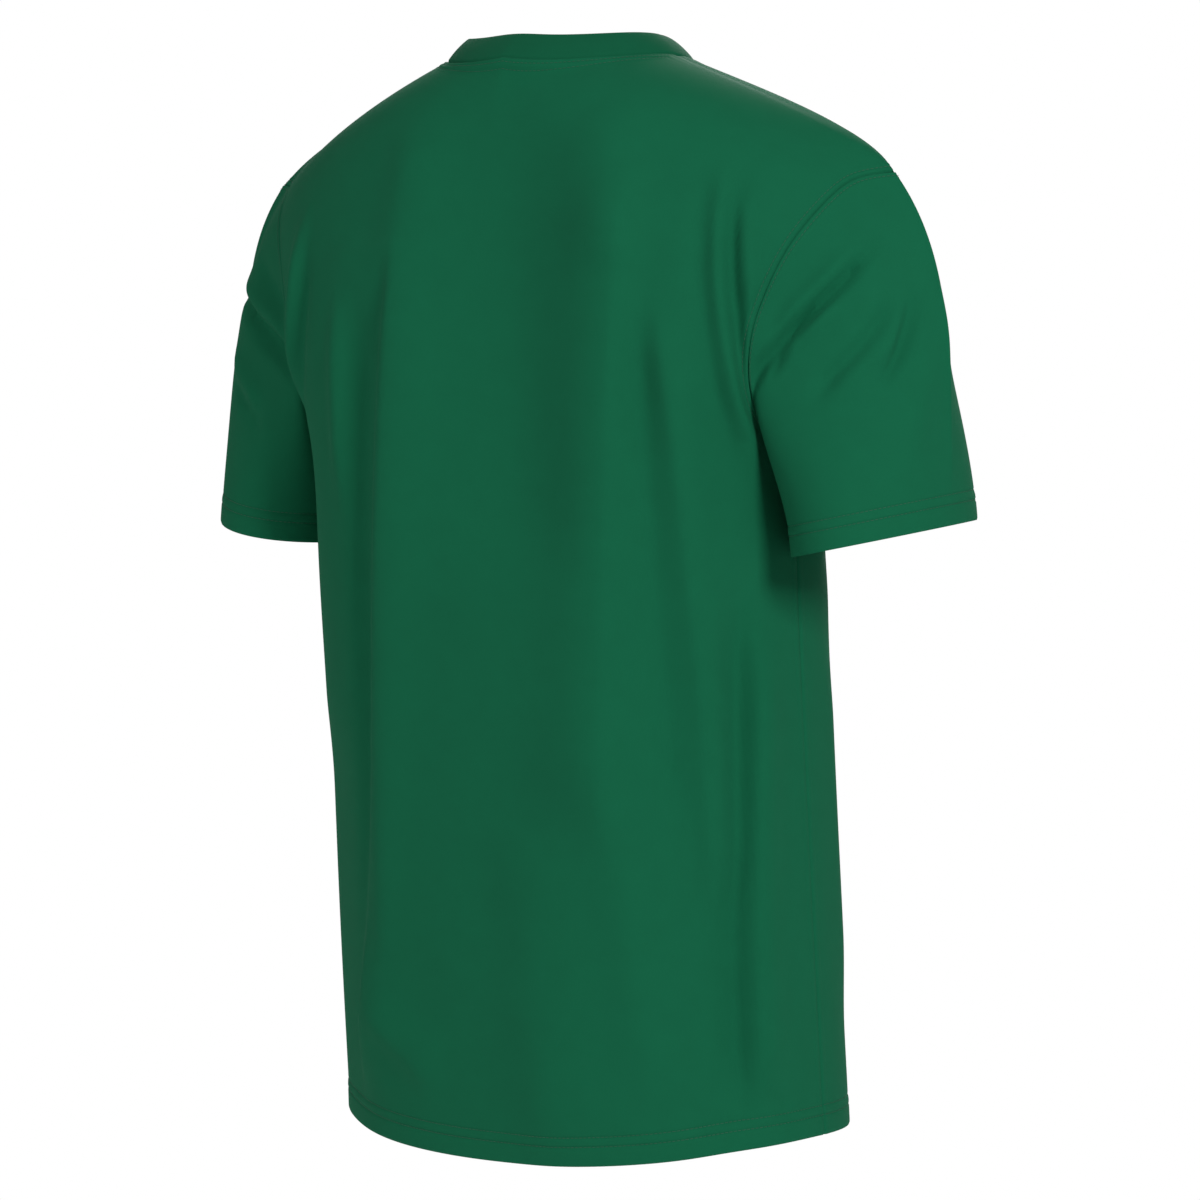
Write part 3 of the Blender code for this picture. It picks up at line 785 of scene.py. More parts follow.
def take_up(name: str, piece: bpy.types.Object) -> bpy.types.Object:
    """Names a new piece and its mesh.

    Args:
        name: the piece's name.
        piece: the piece.

    Returns:
        The same piece.
    """
    piece.name = name
    piece.data.name = name
    return piece


@dataclass(frozen=True)
class Tailor:
    """Makes cloth from grids of points.

    Attributes:
        wall: the thickness of one layer of jersey.
        doubled_wall: the thickness where the cloth is turned up.
        close_within: points nearer than this are sewn into one, in metres.
        sharp_angle: edges that turn more than this stay sharp, in degrees.
    """

    wall: float = 0.9
    doubled_wall: float = 1.7
    close_within: float = 0.00001
    sharp_angle: float = 60.0

    def sheet(self, name: str, cloth: Cloth, ring: bool = False) -> bpy.types.Object:
        """Lays a cloth and gives it its thickness.

        Args:
            name: the piece's name.
            cloth: its grid.
            ring: whether the last column is sewn to the first.

        Returns:
            The piece.
        """
        piece, order = self._lay(name, cloth)
        share = self.wall / self.doubled_wall
        weights = (share + (1 - share) * cloth.doubled.ravel()[order]).round(2)
        group = piece.vertex_groups.new(name="thickness")
        for level in np.unique(weights):
            group.add(np.flatnonzero(weights == level).tolist(), float(level), "REPLACE")
        mesh = piece.data
        face = mesh.polygons[len(mesh.polygons) // 2]
        nearest = np.linalg.norm(cloth.points.reshape(-1, 3) * MM - face.center, axis=1).argmin()
        if np.dot(face.normal, cloth.normals.reshape(-1, 3)[nearest]) < 0:
            mesh.flip_normals()
        if ring:
            bpy.ops.object.mode_set(mode="EDIT")
            bpy.ops.mesh.select_all(action="SELECT")
            bpy.ops.mesh.remove_doubles(threshold=self.close_within)
            bpy.ops.object.mode_set(mode="OBJECT")
        solidify = piece.modifiers.new("wall", "SOLIDIFY")
        solidify.thickness = self.doubled_wall * MM
        solidify.offset = -1
        solidify.use_even_offset = False
        solidify.vertex_group = group.name
        solidify.use_rim = True
        bpy.ops.object.modifier_apply(modifier=solidify.name)
        piece.vertex_groups.clear()
        bpy.ops.object.shade_smooth_by_angle(angle=math.radians(self.sharp_angle))
        return piece

    def band(self, name: str, cloth: Cloth) -> bpy.types.Object:
        """Lays a cloth and sews it into a closed ring, side to side and edge to edge.

        Args:
            name: the piece's name.
            cloth: its grid.

        Returns:
            The piece.
        """
        piece, _ = self._lay(name, cloth)
        bpy.ops.object.mode_set(mode="EDIT")
        bpy.ops.mesh.select_all(action="SELECT")
        bpy.ops.mesh.remove_doubles(threshold=self.close_within)
        bpy.ops.mesh.select_all(action="DESELECT")
        bpy.ops.mesh.select_mode(type="EDGE")
        bpy.ops.mesh.select_non_manifold()
        bpy.ops.mesh.bridge_edge_loops()
        bpy.ops.mesh.select_all(action="SELECT")
        bpy.ops.mesh.normals_make_consistent(inside=False)
        bpy.ops.object.mode_set(mode="OBJECT")
        bpy.ops.object.shade_smooth_by_angle(angle=math.radians(self.sharp_angle))
        return piece

    @staticmethod
    def _lay(name: str, cloth: Cloth) -> tuple[bpy.types.Object, np.ndarray]:
        """Shapes a flat grid to a cloth, with the flat cloth as its UV map.

        Args:
            name: the piece's name.
            cloth: its grid.

        Returns:
            The piece, and the index of each vertex in the cloth's grid.
        """
        rows, columns = cloth.points.shape[:2]
        deselect_all()
        bpy.ops.mesh.primitive_grid_add(x_subdivisions=columns - 1, y_subdivisions=rows - 1, size=2)
        piece = take_up(name, bpy.context.active_object)
        mesh = piece.data
        flat = np.zeros(len(mesh.vertices) * 3)
        mesh.vertices.foreach_get("co", flat)
        # The flat grid runs from -1 to 1 both ways
        column, row = np.rint((flat.reshape(-1, 3)[:, :2] + 1) / 2 * (columns - 1, rows - 1)).astype(int).T
        order = row * columns + column
        mesh.vertices.foreach_set("co", (cloth.points.reshape(-1, 3)[order] * MM).ravel())
        corner = np.zeros(len(mesh.loops), int)
        mesh.loops.foreach_get("vertex_index", corner)
        chart = cloth.chart.reshape(-1, 2)[order][corner] * MM
        mesh.uv_layers.active.data.foreach_set("uv", chart.ravel())
        mesh.update()
        return piece, order


# ---------------------------------------------------------------- the cloth pieces


@dataclass
class BodyPanel:
    """The back or the front.

    Attributes:
        form: the worn form.
        side: back or front.
        folds: its fold table.
        flat: the cut's width and length in metres; not used.
        area: the cut's area in square metres; not used.
        spacing: about how far apart the grid's rows and columns are.
        neck_columns: the columns from the centre line to the neck point.
        half_width: the cloth from the centre line to the side, for spacing the columns.
        shoulder_length: the cloth from the neck point to the shoulder tip, likewise.
        edge_pull: how strongly the outer columns follow the armhole.
        neck_fan: how early the columns spread below the neck.
        side_rest: folds fade out over this much beside side, neck and shoulder seams.
        armhole_rest: and over this much beside an armhole.
        lower: the rows from the hem to the underarm, as shares of that way.
        upper: the rows from the underarm to the ridge, likewise.
        columns: the columns below the armholes, as shares of the half width.
    """

    form: WornForm
    side: Side
    folds: tuple[Fold, ...]
    flat: tuple[float, float]
    area: float
    spacing: float = 3.4
    neck_columns: int = 40
    half_width: float = 250.0
    shoulder_length: float = 190.0
    edge_pull: float = 1.6
    neck_fan: float = 0.6
    side_rest: float = 9.0
    armhole_rest: float = 10.0
    lower: np.ndarray = field(init=False)
    upper: np.ndarray = field(init=False)
    columns: np.ndarray = field(init=False)

    def __post_init__(self) -> None:
        """Spaces the rows and columns."""
        form, side = self.form, self.side
        lower_length = abs(form.underarm[side] - form.hem[side])
        upper_length = abs(form.ridge - form.underarm[side])
        self.lower = stepped(HEM_OFFSETS, lower_length, self.spacing) / lower_length
        self.upper = 1 - stepped(SEWN_OFFSETS, upper_length, self.spacing)[::-1] / upper_length
        self.columns = 1 - stepped(SEWN_OFFSETS, self.half_width, self.spacing)[::-1] / self.half_width

    def _top_edge(self) -> tuple[np.ndarray, np.ndarray]:
        """The top edge of half the panel, round the neck and out along the shoulder.

        Returns:
            The shares and rows of its places, one for each column.
        """
        turns = np.linspace(0, math.pi / 2, self.neck_columns + 1)[:-1]
        neck_shares, neck_rows = self.form.neck_places(self.side, turns)
        close = np.array(SEWN_OFFSETS) / self.shoulder_length
        wide = len(self.columns) - self.neck_columns + 1 - len(close)
        outer = np.concatenate([np.linspace(0, 1 - close[-1], wide)[1:], 1 - close[::-1][1:]])
        outer = self.form.neck_share + (1 - self.form.neck_share) * outer
        shares = np.concatenate([neck_shares, [self.form.neck_share], outer])
        return shares, np.concatenate([neck_rows, np.full(len(outer) + 1, self.form.ridge)])

    def _grid(self) -> tuple[np.ndarray, np.ndarray, np.ndarray]:
        """The panel on the smooth form, from the wearer's left side to the right.

        Returns:
            Its points, rows from the hem up, their normals, and each point's chart.
        """
        form = self.form
        hem, low, top = form.hem[self.side], form.underarm[self.side], form.ridge
        top_shares, top_rows = self._top_edge()
        edge_shares, edge_rows = form.armhole_places(self.side, self.upper)
        middle_rows = low + (top - low) * self.upper
        none = np.zeros(len(self.lower) - 1)
        climb = np.concatenate([none, self.upper])[:, None]
        rows = np.concatenate([hem + (low - hem) * self.lower[:-1], middle_rows])[:, None]
        to_edge = np.concatenate([none, edge_rows - middle_rows])[:, None]
        narrowing = np.concatenate([none, 1 - edge_shares])[:, None]
        rows = rows + climb * (top_rows - top) + to_edge * self.columns**2
        shares = top_shares + (1 - climb) ** self.neck_fan * (self.columns - top_shares)
        shares = shares - narrowing * shares**self.edge_pull
        half = form.point(shares, rows)
        half_normals = form.normal(shares, rows)
        across = climbed(half.swapaxes(0, 1)).T
        points = np.concatenate([half[:, ::-1], half[:, 1:] * MIRROR], axis=1)
        normals = np.concatenate([half_normals[:, ::-1], half_normals[:, 1:] * MIRROR], axis=1)
        across = np.concatenate([across[:, ::-1], -across[:, 1:]], axis=1)
        return points, normals, np.stack([across, climbed(points)], axis=-1)

    def cloth(self) -> Cloth:
        """The panel with its folds and its sewn edges.

        Returns:
            Its grid.
        """
        points, normals, chart = self._grid()
        underarm = len(self.lower) - 1
        neck = self._neck_columns()
        to_side = distance_to_both(points, points[: underarm + 1, 0])
        to_arm = distance_to_both(points, points[underarm:, 0])
        to_neck = distance_to(points, points[-1, neck])
        to_ridge = distance_to_both(points, points[-1, : neck.start + 1])
        rise = relief(chart[..., 0], points[..., 2], self.folds)
        rise *= ease(to_side / self.side_rest) * ease(to_arm / self.armhole_rest)
        rise *= ease(to_neck / self.side_rest) * ease(to_ridge / self.side_rest)
        rise += SIDE_SEAM.rise(to_side) + ARMHOLE_SEAM.rise(to_arm)
        rise += NECK_SEAM.rise(to_neck) + SHOULDER_SEAM.rise(to_ridge)
        from_hem = chart[..., 1]
        rise += HEM_EDGE.rise(from_hem)
        doubled = 1 - ease((from_hem - HEM_EDGE.rows[-1]) / DOUBLED_END)
        reach = {Seam.HEM: from_hem, Seam.NECK: to_neck}
        reach |= {Seam.ARMHOLE_LEFT: to_arm, Seam.ARMHOLE_RIGHT: to_arm}
        return Cloth(points + normals * rise[..., None], normals, chart, doubled, reach)

    def _neck_columns(self) -> slice:
        """The columns of the whole grid that end at the neck."""
        middle = len(self.columns) - 1
        return slice(middle - self.neck_columns, middle + self.neck_columns + 1)

    def stitch_lines(self, cloth: Cloth) -> dict[Seam, list[StitchLine]]:
        """The lines of the panel's stitched rows.

        Args:
            cloth: the panel's cloth.

        Returns:
            The lines by seam.
        """
        neck = self._neck_columns()
        upper = slice(len(self.lower) - 1, None)
        half = len(self.columns)
        seams = (
            (Seam.HEM, HEM_EDGE, lambda grid: grid.swapaxes(0, 1)),
            (Seam.NECK, NECK_SEAM, lambda grid: grid[::-1, neck].swapaxes(0, 1)),
            (Seam.ARMHOLE_LEFT, ARMHOLE_SEAM, lambda grid: grid[upper, :half]),
            (Seam.ARMHOLE_RIGHT, ARMHOLE_SEAM, lambda grid: grid[upper, ::-1][:, :half]),
        )
        return {
            seam: [line_at(cloth, seam, row, turned) for row in shape.rows] for seam, shape, turned in seams
        }


@dataclass
class Sleeve:
    """One short sleeve, from the armhole to the turned-up cuff.

    Attributes:
        form: the worn form.
        folds: its fold table.
        hand: the wearer's left or right.
        flat: the cut's width and length in metres; not used.
        area: the cut's area in square metres; not used.
        cuff_centre: the middle of the cuff.
        cuff_half_width: half the cuff's width, across the arm.
        cuff_half_depth: half its depth, front to back.
        cuff_rise_outside: how much higher it hangs outside than under the arm.
        cuff_rise_back: how much higher it hangs behind than in front.
        axis: the way the sleeve hangs.
        pull: how far the cloth keeps its way at either end, as a share of the sleeve.
        girth: the flat cloth's width, round the arm.
        armpit_gap: how far clear of the body the sleeve starts under the arm.
        armpit_lean: how far it leans away there.
        start_reach: how widely the ways in which it starts are evened, as a share of the ring.
        head_lean: how far it leans outwards from the shoulder tip.
        half_columns: the columns from the underarm to the shoulder tip.
        spacing: about how far apart its rows are.
        mean_length: its length, for spacing the rows.
        rest: folds fade out over this much below the armhole, and over twice as much at the cuff.
        draw: how far the sewn edge is drawn down under the arm.
        tuck: how far it is tucked under the body's edge elsewhere.
        mitre_reach: below the armhole its normals turn from the body's to its own over this much.
    """

    form: WornForm
    folds: tuple[Fold, ...]
    hand: Hand
    flat: tuple[float, float] = (0.44, 0.24)
    area: float = 0.063
    cuff_centre: tuple[float, float, float] = (239.0, -17.0, -322.0)
    cuff_half_width: float = 53.0
    cuff_half_depth: float = 77.0
    cuff_rise_outside: float = 10.0
    cuff_rise_back: float = -6.0
    axis: tuple[float, float, float] = (0.08, 0.0, -1.0)
    pull: float = 0.36
    girth: float = 430.0
    armpit_gap: float = 0.7
    armpit_lean: float = 0.34
    start_reach: float = 0.085
    head_lean: float = 0.46
    half_columns: int = 120
    spacing: float = 3.0
    mean_length: float = 150.0
    rest: float = 12.0
    draw: float = 0.25
    tuck: float = 0.45
    mitre_reach: float = 4.0

    def _armhole(self) -> tuple[np.ndarray, np.ndarray]:
        """The armhole, round from the shoulder tip by the back, its first place repeated.

        Returns:
            Its points and the body's normals there.
        """
        parts = np.linspace(0, 1, self.half_columns + 1)
        back = self.form.armhole_places(Side.BACK, parts)
        front = self.form.armhole_places(Side.FRONT, parts)
        shares, rows = (np.concatenate([b[::-1], f[1:]]) for b, f in zip(back, front))
        return self.form.point(shares, rows), self.form.normal(shares, rows)

    def _arcs(self, ring: np.ndarray, body_normals: np.ndarray, turn: np.ndarray) -> np.ndarray:
        """The smooth courses of the columns from the armhole to the cuff.

        Args:
            ring: the armhole's points.
            body_normals: the body's normals there.
            turn: the angle of each column from the shoulder tip.

        Returns:
            Four control points for each column, the armhole's first, shape (n, 4, 3).
        """
        out, back = np.cos(turn), np.sin(turn)
        underneath = ease(-out)[:, None]
        cuff_rise = self.cuff_rise_outside * out + self.cuff_rise_back * back
        cuff = np.stack([self.cuff_half_width * out, self.cuff_half_depth * back, cuff_rise], axis=1)
        cuff = cuff + self.cuff_centre
        span = cuff - ring
        reach = np.linalg.norm(span, axis=1)[:, None]
        along_body = unit(span - (span * body_normals).sum(axis=1)[:, None] * body_normals)
        start = unit(along_body + body_normals * self.armpit_lean * underneath)
        even = smooth_round(start[:-1], self.start_reach)
        even[:, 0] += self.head_lean * ease(out[:-1]) ** 2
        start = unit(np.concatenate([even, even[:1]]))
        axis = unit(np.array(self.axis))
        drawn = self.draw * underneath - self.tuck * (1 - underneath)
        sewn = ring + along_body * drawn + body_normals * self.armpit_gap * underneath
        arcs = np.stack([sewn, sewn + start * reach * self.pull, cuff - axis * reach * self.pull, cuff])
        return arcs.transpose(1, 0, 2)

    def cloth(self) -> Cloth:
        """The sleeve with its folds and its sewn edges, its first column repeated at the end.

        Returns:
            Its grid, with the edges' distances under its own hand's seams.
        """
        ring, body_normals = self._armhole()
        turn = 2 * np.pi * np.arange(len(ring)) / (len(ring) - 1)
        above = 1 - ease(-np.cos(turn))
        arcs = self._arcs(ring, body_normals, turn)
        length = np.linalg.norm(arcs[:, -1] - ring, axis=1)
        down = self._rows(length)
        points = bezier(arcs[None], down)
        onwards = bezier(arcs[None], down + SMALL_SHARE) - bezier(arcs[None], down - SMALL_SHARE)
        normals = unit(np.cross(onwards, round_ring(points)))
        reached = climbed(points)
        to_cuff = reached[-1] - reached
        turned = np.where(turn > np.pi, turn - 2 * np.pi, turn) / (2 * np.pi)
        across = turned * self.girth * np.ones_like(down)
        rise = relief(across, -down * length, self.folds)
        rise *= ease(reached / self.rest) * ease(to_cuff / (2 * self.rest))
        rise += ARMHOLE_SEAM.rise(reached) + HEM_EDGE.rise(to_cuff)
        rise -= self.tuck * above * bump_at(reached, 0, ARMHOLE_SEAM.dip_width)
        rise += SIDE_SEAM.rise(np.abs(np.abs(across) - self.girth / 2))
        mitre = above[:, None] * bump_at(reached, 0, self.mitre_reach)[..., None]
        normals = unit(normals * (1 - mitre) + body_normals * mitre)
        unrolled = turn / (2 * np.pi) * self.girth * np.ones_like(down)
        doubled = 1 - ease((to_cuff - HEM_EDGE.rows[-1]) / DOUBLED_END)
        hand = np.array((self.hand.value, 1, 1))
        return Cloth(
            (points + normals * rise[..., None]) * hand,
            normals * hand,
            np.stack([unrolled, -reached], axis=-1),
            doubled,
            {self.hand.armhole: reached, self.hand.cuff: to_cuff},
        )

    def _rows(self, length: np.ndarray) -> np.ndarray:
        """The rows' places.

        Args:
            length: each column's length.

        Returns:
            How far down each column each row lies, 0 to 1.
        """
        first = np.array(SEWN_OFFSETS)[:, None] / length
        last = 1 - np.array(HEM_OFFSETS)[::-1, None] / length
        count = int(round(self.mean_length / self.spacing))
        between = np.linspace(0, 1, count + 1)[1:-1, None]
        return np.concatenate([first, first[-1] + between * (last[0] - first[-1]), last])

    def stitch_lines(self, cloth: Cloth) -> dict[Seam, list[StitchLine]]:
        """The lines of the sleeve's stitched rows.

        Args:
            cloth: the sleeve's cloth.

        Returns:
            The lines by seam.
        """
        seams = (
            (self.hand.armhole, ARMHOLE_SEAM, lambda grid: grid.swapaxes(0, 1)),
            (self.hand.cuff, HEM_EDGE, lambda grid: grid[::-1].swapaxes(0, 1)),
        )
        return {
            seam: [line_at(cloth, seam, row, turned) for row in shape.rows] for seam, shape, turned in seams
        }


@dataclass
class CollarBand:
    """The collar: a strip folded double and sewn to the neck by both its edges.

    Attributes:
        form: the worn form.
        flat: the band's length all round and its height in metres; not used.
        rise_back: how high it stands behind.
        rise_side: how high it stands at the neck points.
        rise_front: how high it stands in front.
        lean_back: how far it leans in behind.
        lean_side: how far it leans in at the neck points.
        lean_front: how far it leans in in front.
        roll: below 1 it leans more towards its top.
        steepest: above this share of its height its slope is read there, where it is still finite.
        even_reach: how widely its top edge is evened, as a share of the ring.
        thickness: both layers together.
        tuck: how far its sewn edge sinks into the seam.
        tuck_share: over this share of its height.
        crown: how far its middle bulges.
        quarter_columns: the columns from the centre line to a neck point.
        low_shares: the rows beside the seam, as shares of its height.
        first_share: the first of the even rows above them.
        face_rows: how many even rows there are on each face.
        fold_rows: how many steps the folded edge has.
    """

    form: WornForm
    flat: tuple[float, float] = (0.53, 0.023)
    rise_back: float = 16.5
    rise_side: float = 14.5
    rise_front: float = 18.5
    lean_back: float = 15.0
    lean_side: float = 14.0
    lean_front: float = 8.0
    roll: float = 0.9
    steepest: float = 0.98
    even_reach: float = 0.035
    thickness: float = 2.4
    tuck: float = 0.9
    tuck_share: float = 0.045
    crown: float = 0.5
    quarter_columns: int = 50
    low_shares: tuple[float, ...] = (0, 0.02, 0.05, 0.1)
    first_share: float = 0.16
    face_rows: int = 14
    fold_rows: int = 8

    def _neck(self) -> np.ndarray:
        """The neck seam, round from the centre back by the left, its first place repeated.

        Returns:
            Its points.
        """
        turns = np.linspace(0, math.pi / 2, self.quarter_columns + 1)[:-1]
        quarters = []
        for side in (Side.BACK, Side.FRONT):
            shares, rows = self.form.neck_places(side, turns)
            shares = np.append(shares, self.form.neck_share)
            quarters.append(self.form.point(shares, np.append(rows, self.form.ridge)))
        left = np.concatenate([quarters[0], quarters[1][-2::-1]])
        return np.concatenate([left, left[-2::-1] * MIRROR])

    def _stand(self, seam: np.ndarray) -> tuple[np.ndarray, np.ndarray]:
        """How the band stands on the neck seam.

        Args:
            seam: the seam's points.

        Returns:
            How high it rises and how far it leans in at each of them.
        """
        turn = np.arctan2(np.abs(seam[:, 0]) / self.form.neck_half_width, seam[:, 1] / self.form.neck_back)
        behind = np.clip(np.cos(turn), 0, 1) ** 2
        before = np.clip(-np.cos(turn), 0, 1) ** 2
        beside = 1 - behind - before
        rise = self.rise_back * behind + self.rise_side * beside + self.rise_front * before
        lean = self.lean_back * behind + self.lean_side * beside + self.lean_front * before
        level = smooth_round(seam[:-1], self.even_reach)[:, 2]
        return rise + np.append(level, level[0]) - seam[:, 2], lean

    def cloth(self) -> Cloth:
        """The band's grid: up its outside, over the fold and down its inside.

        Returns:
            The grid.
        """
        seam = self._neck()
        rise, lean = self._stand(seam)
        inwards = unit(-seam * (1, 1, 0))
        upright = np.array((0.0, 0.0, 1.0))
        around = round_ring(seam)

        def face(share: float) -> tuple[np.ndarray, np.ndarray]:
            """The outer face, before it is tucked and crowned.

            Args:
                share: how far up the band, 0 to 1.

            Returns:
                Its points there, and their normals.
            """
            leaning = (1 - (1 - share) ** self.roll) * lean[:, None] * inwards
            place = seam + leaning + share * rise[:, None] * upright
            slope = self.roll * (1 - min(share, self.steepest)) ** (self.roll - 1)
            climb = slope * lean[:, None] * inwards + rise[:, None] * upright
            return place, unit(np.cross(climb, around))

        rows = []
        shares = np.concatenate([self.low_shares, np.linspace(self.first_share, 1, self.face_rows)])
        for share in shares:
            place, normal = face(share)
            sunk = self.tuck * math.exp(-((share / self.tuck_share) ** 2))
            rows.append((place + normal * (self.crown * math.sin(math.pi * share) - sunk), normal))
        top, top_normal = face(1.0)
        climb = unit(np.cross(around, top_normal))
        climb = climb * np.sign((climb * upright).sum(axis=1))[:, None]
        half = self.thickness / 2
        for step in range(1, self.fold_rows):
            angle = math.pi * step / self.fold_rows
            facing = top_normal * math.cos(angle) + climb * math.sin(angle)
            rows.append((top - top_normal * half + facing * half, facing))
        for share in shares[::-1]:
            place, normal = face(share)
            rows.append((place - normal * self.thickness, -normal))
        points, normals = (np.array(grid) for grid in zip(*rows))
        up = climbed(points)
        across = along_line(seam)[None] * np.ones_like(up)
        return Cloth(points, normals, np.stack([across, up], axis=-1), np.zeros_like(up), {})


@dataclass(frozen=True)
class StitchRow:
    """A row of lockstitches: one small lozenge of thread, copied along a line.

    Attributes:
        pitch: from one stitch to the next.
        length: how long a stitch shows.
        width: how wide the thread is.
        flatness: how high it is, as a share of its width.
        lift: how far the thread's middle stands above the cloth.
        segments: the sides of the lozenge, round the thread.
        rings: its rings, along the thread.
    """

    pitch: float = 3.0
    length: float = 2.5
    width: float = 0.5
    flatness: float = 0.8
    lift: float = 0.06
    segments: int = 6
    rings: int = 4

    def pattern(self) -> tuple[np.ndarray, list[tuple[int, ...]]]:
        """One stitch lying along X.

        Returns:
            Its points and faces.
        """
        deselect_all()
        bpy.ops.mesh.primitive_uv_sphere_add(segments=self.segments, ring_count=self.rings, radius=0.5)
        made = bpy.context.active_object
        points = np.array([vertex.co[:] for vertex in made.data.vertices])
        faces = sorted(tuple(polygon.vertices) for polygon in made.data.polygons)
        bpy.data.objects.remove(made)
        # The ball is 1 across and its poles come to lie along X
        lying = points[:, [2, 0, 1]]
        return lying * (self.length, self.width, self.width * self.flatness), faces

    def sew(self, name: str, lines: list[StitchLine]) -> bpy.types.Object:
        """Copies the stitch along the lines.

        Args:
            name: the piece's name.
            lines: where the rows run.

        Returns:
            One piece that holds them all.
        """
        pattern, faces = self.pattern()
        points = []
        for line in lines:
            path = resample(np.concatenate([line.points, line.normals], axis=1), self.pitch)
            place, facing = path[:, :3], unit(path[:, 3:])
            along = unit(np.gradient(place, axis=0))
            aside = unit(np.cross(facing, along))
            facing = np.cross(along, aside)
            axes = np.stack([along, aside, facing], axis=1)
            points.append(np.einsum("pk,nkj->npj", pattern, axes) + (place + facing * self.lift)[:, None])
        points = np.concatenate(points)
        count, per_stitch = points.shape[:2]
        starts = range(0, count * per_stitch, per_stitch)
        all_faces = [tuple(start + corner for corner in face) for start in starts for face in faces]
        mesh = bpy.data.meshes.new(name)
        mesh.from_pydata((points.reshape(-1, 3) * MM).tolist(), [], all_faces)
        mesh.update()
        mesh.shade_smooth()
        piece = bpy.data.objects.new(name, mesh)
        bpy.context.scene.collection.objects.link(piece)
        return piece


# ---------------------------------------------------------------- finishes


class Value:
    """A shader value: wraps a socket, so that arithmetic on it adds Math nodes."""

    def __init__(self, shader: "Shader", socket: bpy.types.NodeSocket) -> None:
        """Keeps the socket and the shader that it belongs to."""
        self.shader = shader
        self.socket = socket

    def _math(self, operation: str, *terms: object) -> "Value":
        """A Math node on some terms."""
        return self.shader.node("ShaderNodeMath", {"operation": operation}, dict(enumerate(terms)))

    def __add__(self, other: object) -> "Value":
        """The sum."""
        return self._math("ADD", self, other)

    def __mul__(self, other: object) -> "Value":
        """The product."""
        return self._math("MULTIPLY", self, other)

    __radd__ = __add__
    __rmul__ = __mul__

    def __sub__(self, other: object) -> "Value":
        """The difference."""
        return self._math("SUBTRACT", self, other)

    def __rsub__(self, other: object) -> "Value":
        """The difference, the other way round."""
        return self._math("SUBTRACT", other, self)

    def __truediv__(self, other: object) -> "Value":
        """The quotient."""
        return self._math("DIVIDE", self, other)

    def __rtruediv__(self, other: object) -> "Value":
        """The quotient, the other way round."""
        return self._math("DIVIDE", other, self)

    def fract(self) -> "Value":
        """What is left over whole numbers."""
        return self._math("FRACT", self)

    def abs(self) -> "Value":
        """The size, without its sign."""
        return self._math("ABSOLUTE", self)

    def wave(self) -> "Value":
        """A wave between 0 and 1 that comes back at every whole number."""
        return self._math("COSINE", self * (2 * math.pi)) * 0.5 + 0.5


class Shader:
    """The node tree of a material or of the world, built by expressions."""

    def __init__(self, owner: bpy.types.Material | bpy.types.World, surface: str) -> None:
        """Starts on its nodes.

        Args:
            owner: the material or world.
            surface: the name of the node that gives it its looks.
        """
        owner.use_nodes = True
        self.owner = owner
        self.tree = owner.node_tree
        self.surface = self.tree.nodes[surface]

    def node(
        self,
        kind: str,
        settings: dict[str, object],
        sockets: dict[int | str, object],
        output: int | str = 0,
    ) -> Value:
        """Adds a node.

        Args:
            kind: the node's type.
            settings: its properties, which are set first.
            sockets: values or links for its inputs, by place or name.
            output: which output is used.

        Returns:
            That output.
        """
        made = self.tree.nodes.new(kind)
        for name, value in settings.items():
            setattr(made, name, value)
        for place, value in sockets.items():
            self.feed(made.inputs[place], value)
        return Value(self, made.outputs[output])

    def feed(self, socket: bpy.types.NodeSocket, value: object) -> None:
        """Links a value to a socket, or sets a constant there.

        Args:
            socket: the socket.
            value: the value or constant.
        """
        if isinstance(value, Value):
            self.tree.links.new(value.socket, socket)
        else:
            socket.default_value = value

    def chart(self, way: str) -> Value:
        """The place on the flat cloth in metres, across it for X and up it for Y."""
        return self.node("ShaderNodeSeparateXYZ", {}, {0: self.node("ShaderNodeUVMap", {}, {})}, way)

    def noise(self, scale: float, detail: float) -> Value:
        """Soft uneven noise over the object, from 0 to 1."""
        place = self.node("ShaderNodeTexCoord", {}, {}, "Object")
        return self.node("ShaderNodeTexNoise", {}, {"Vector": place, "Scale": scale, "Detail": detail})

    def colour(self, share: Value, first: tuple[float, ...], second: tuple[float, ...]) -> Value:
        """A mix of two colours; a colour mix's sockets are the ones at these places."""
        return self.node("ShaderNodeMix", {"data_type": "RGBA"}, {0: share, 6: first, 7: second}, 2)

    def bump(self, height: Value, strength: float, depth: float) -> Value:
        """A normal bent by a height."""
        return self.node("ShaderNodeBump", {}, {"Strength": strength, "Distance": depth, "Height": height})

    def finish(self, sockets: dict[str, object]) -> bpy.types.Material | bpy.types.World:
        """Feeds the surface's sockets.

        Args:
            sockets: values or constants by socket name.

        Returns:
            The material or world.
        """
        for name, value in sockets.items():
            self.feed(self.surface.inputs[name], value)
        return self.owner


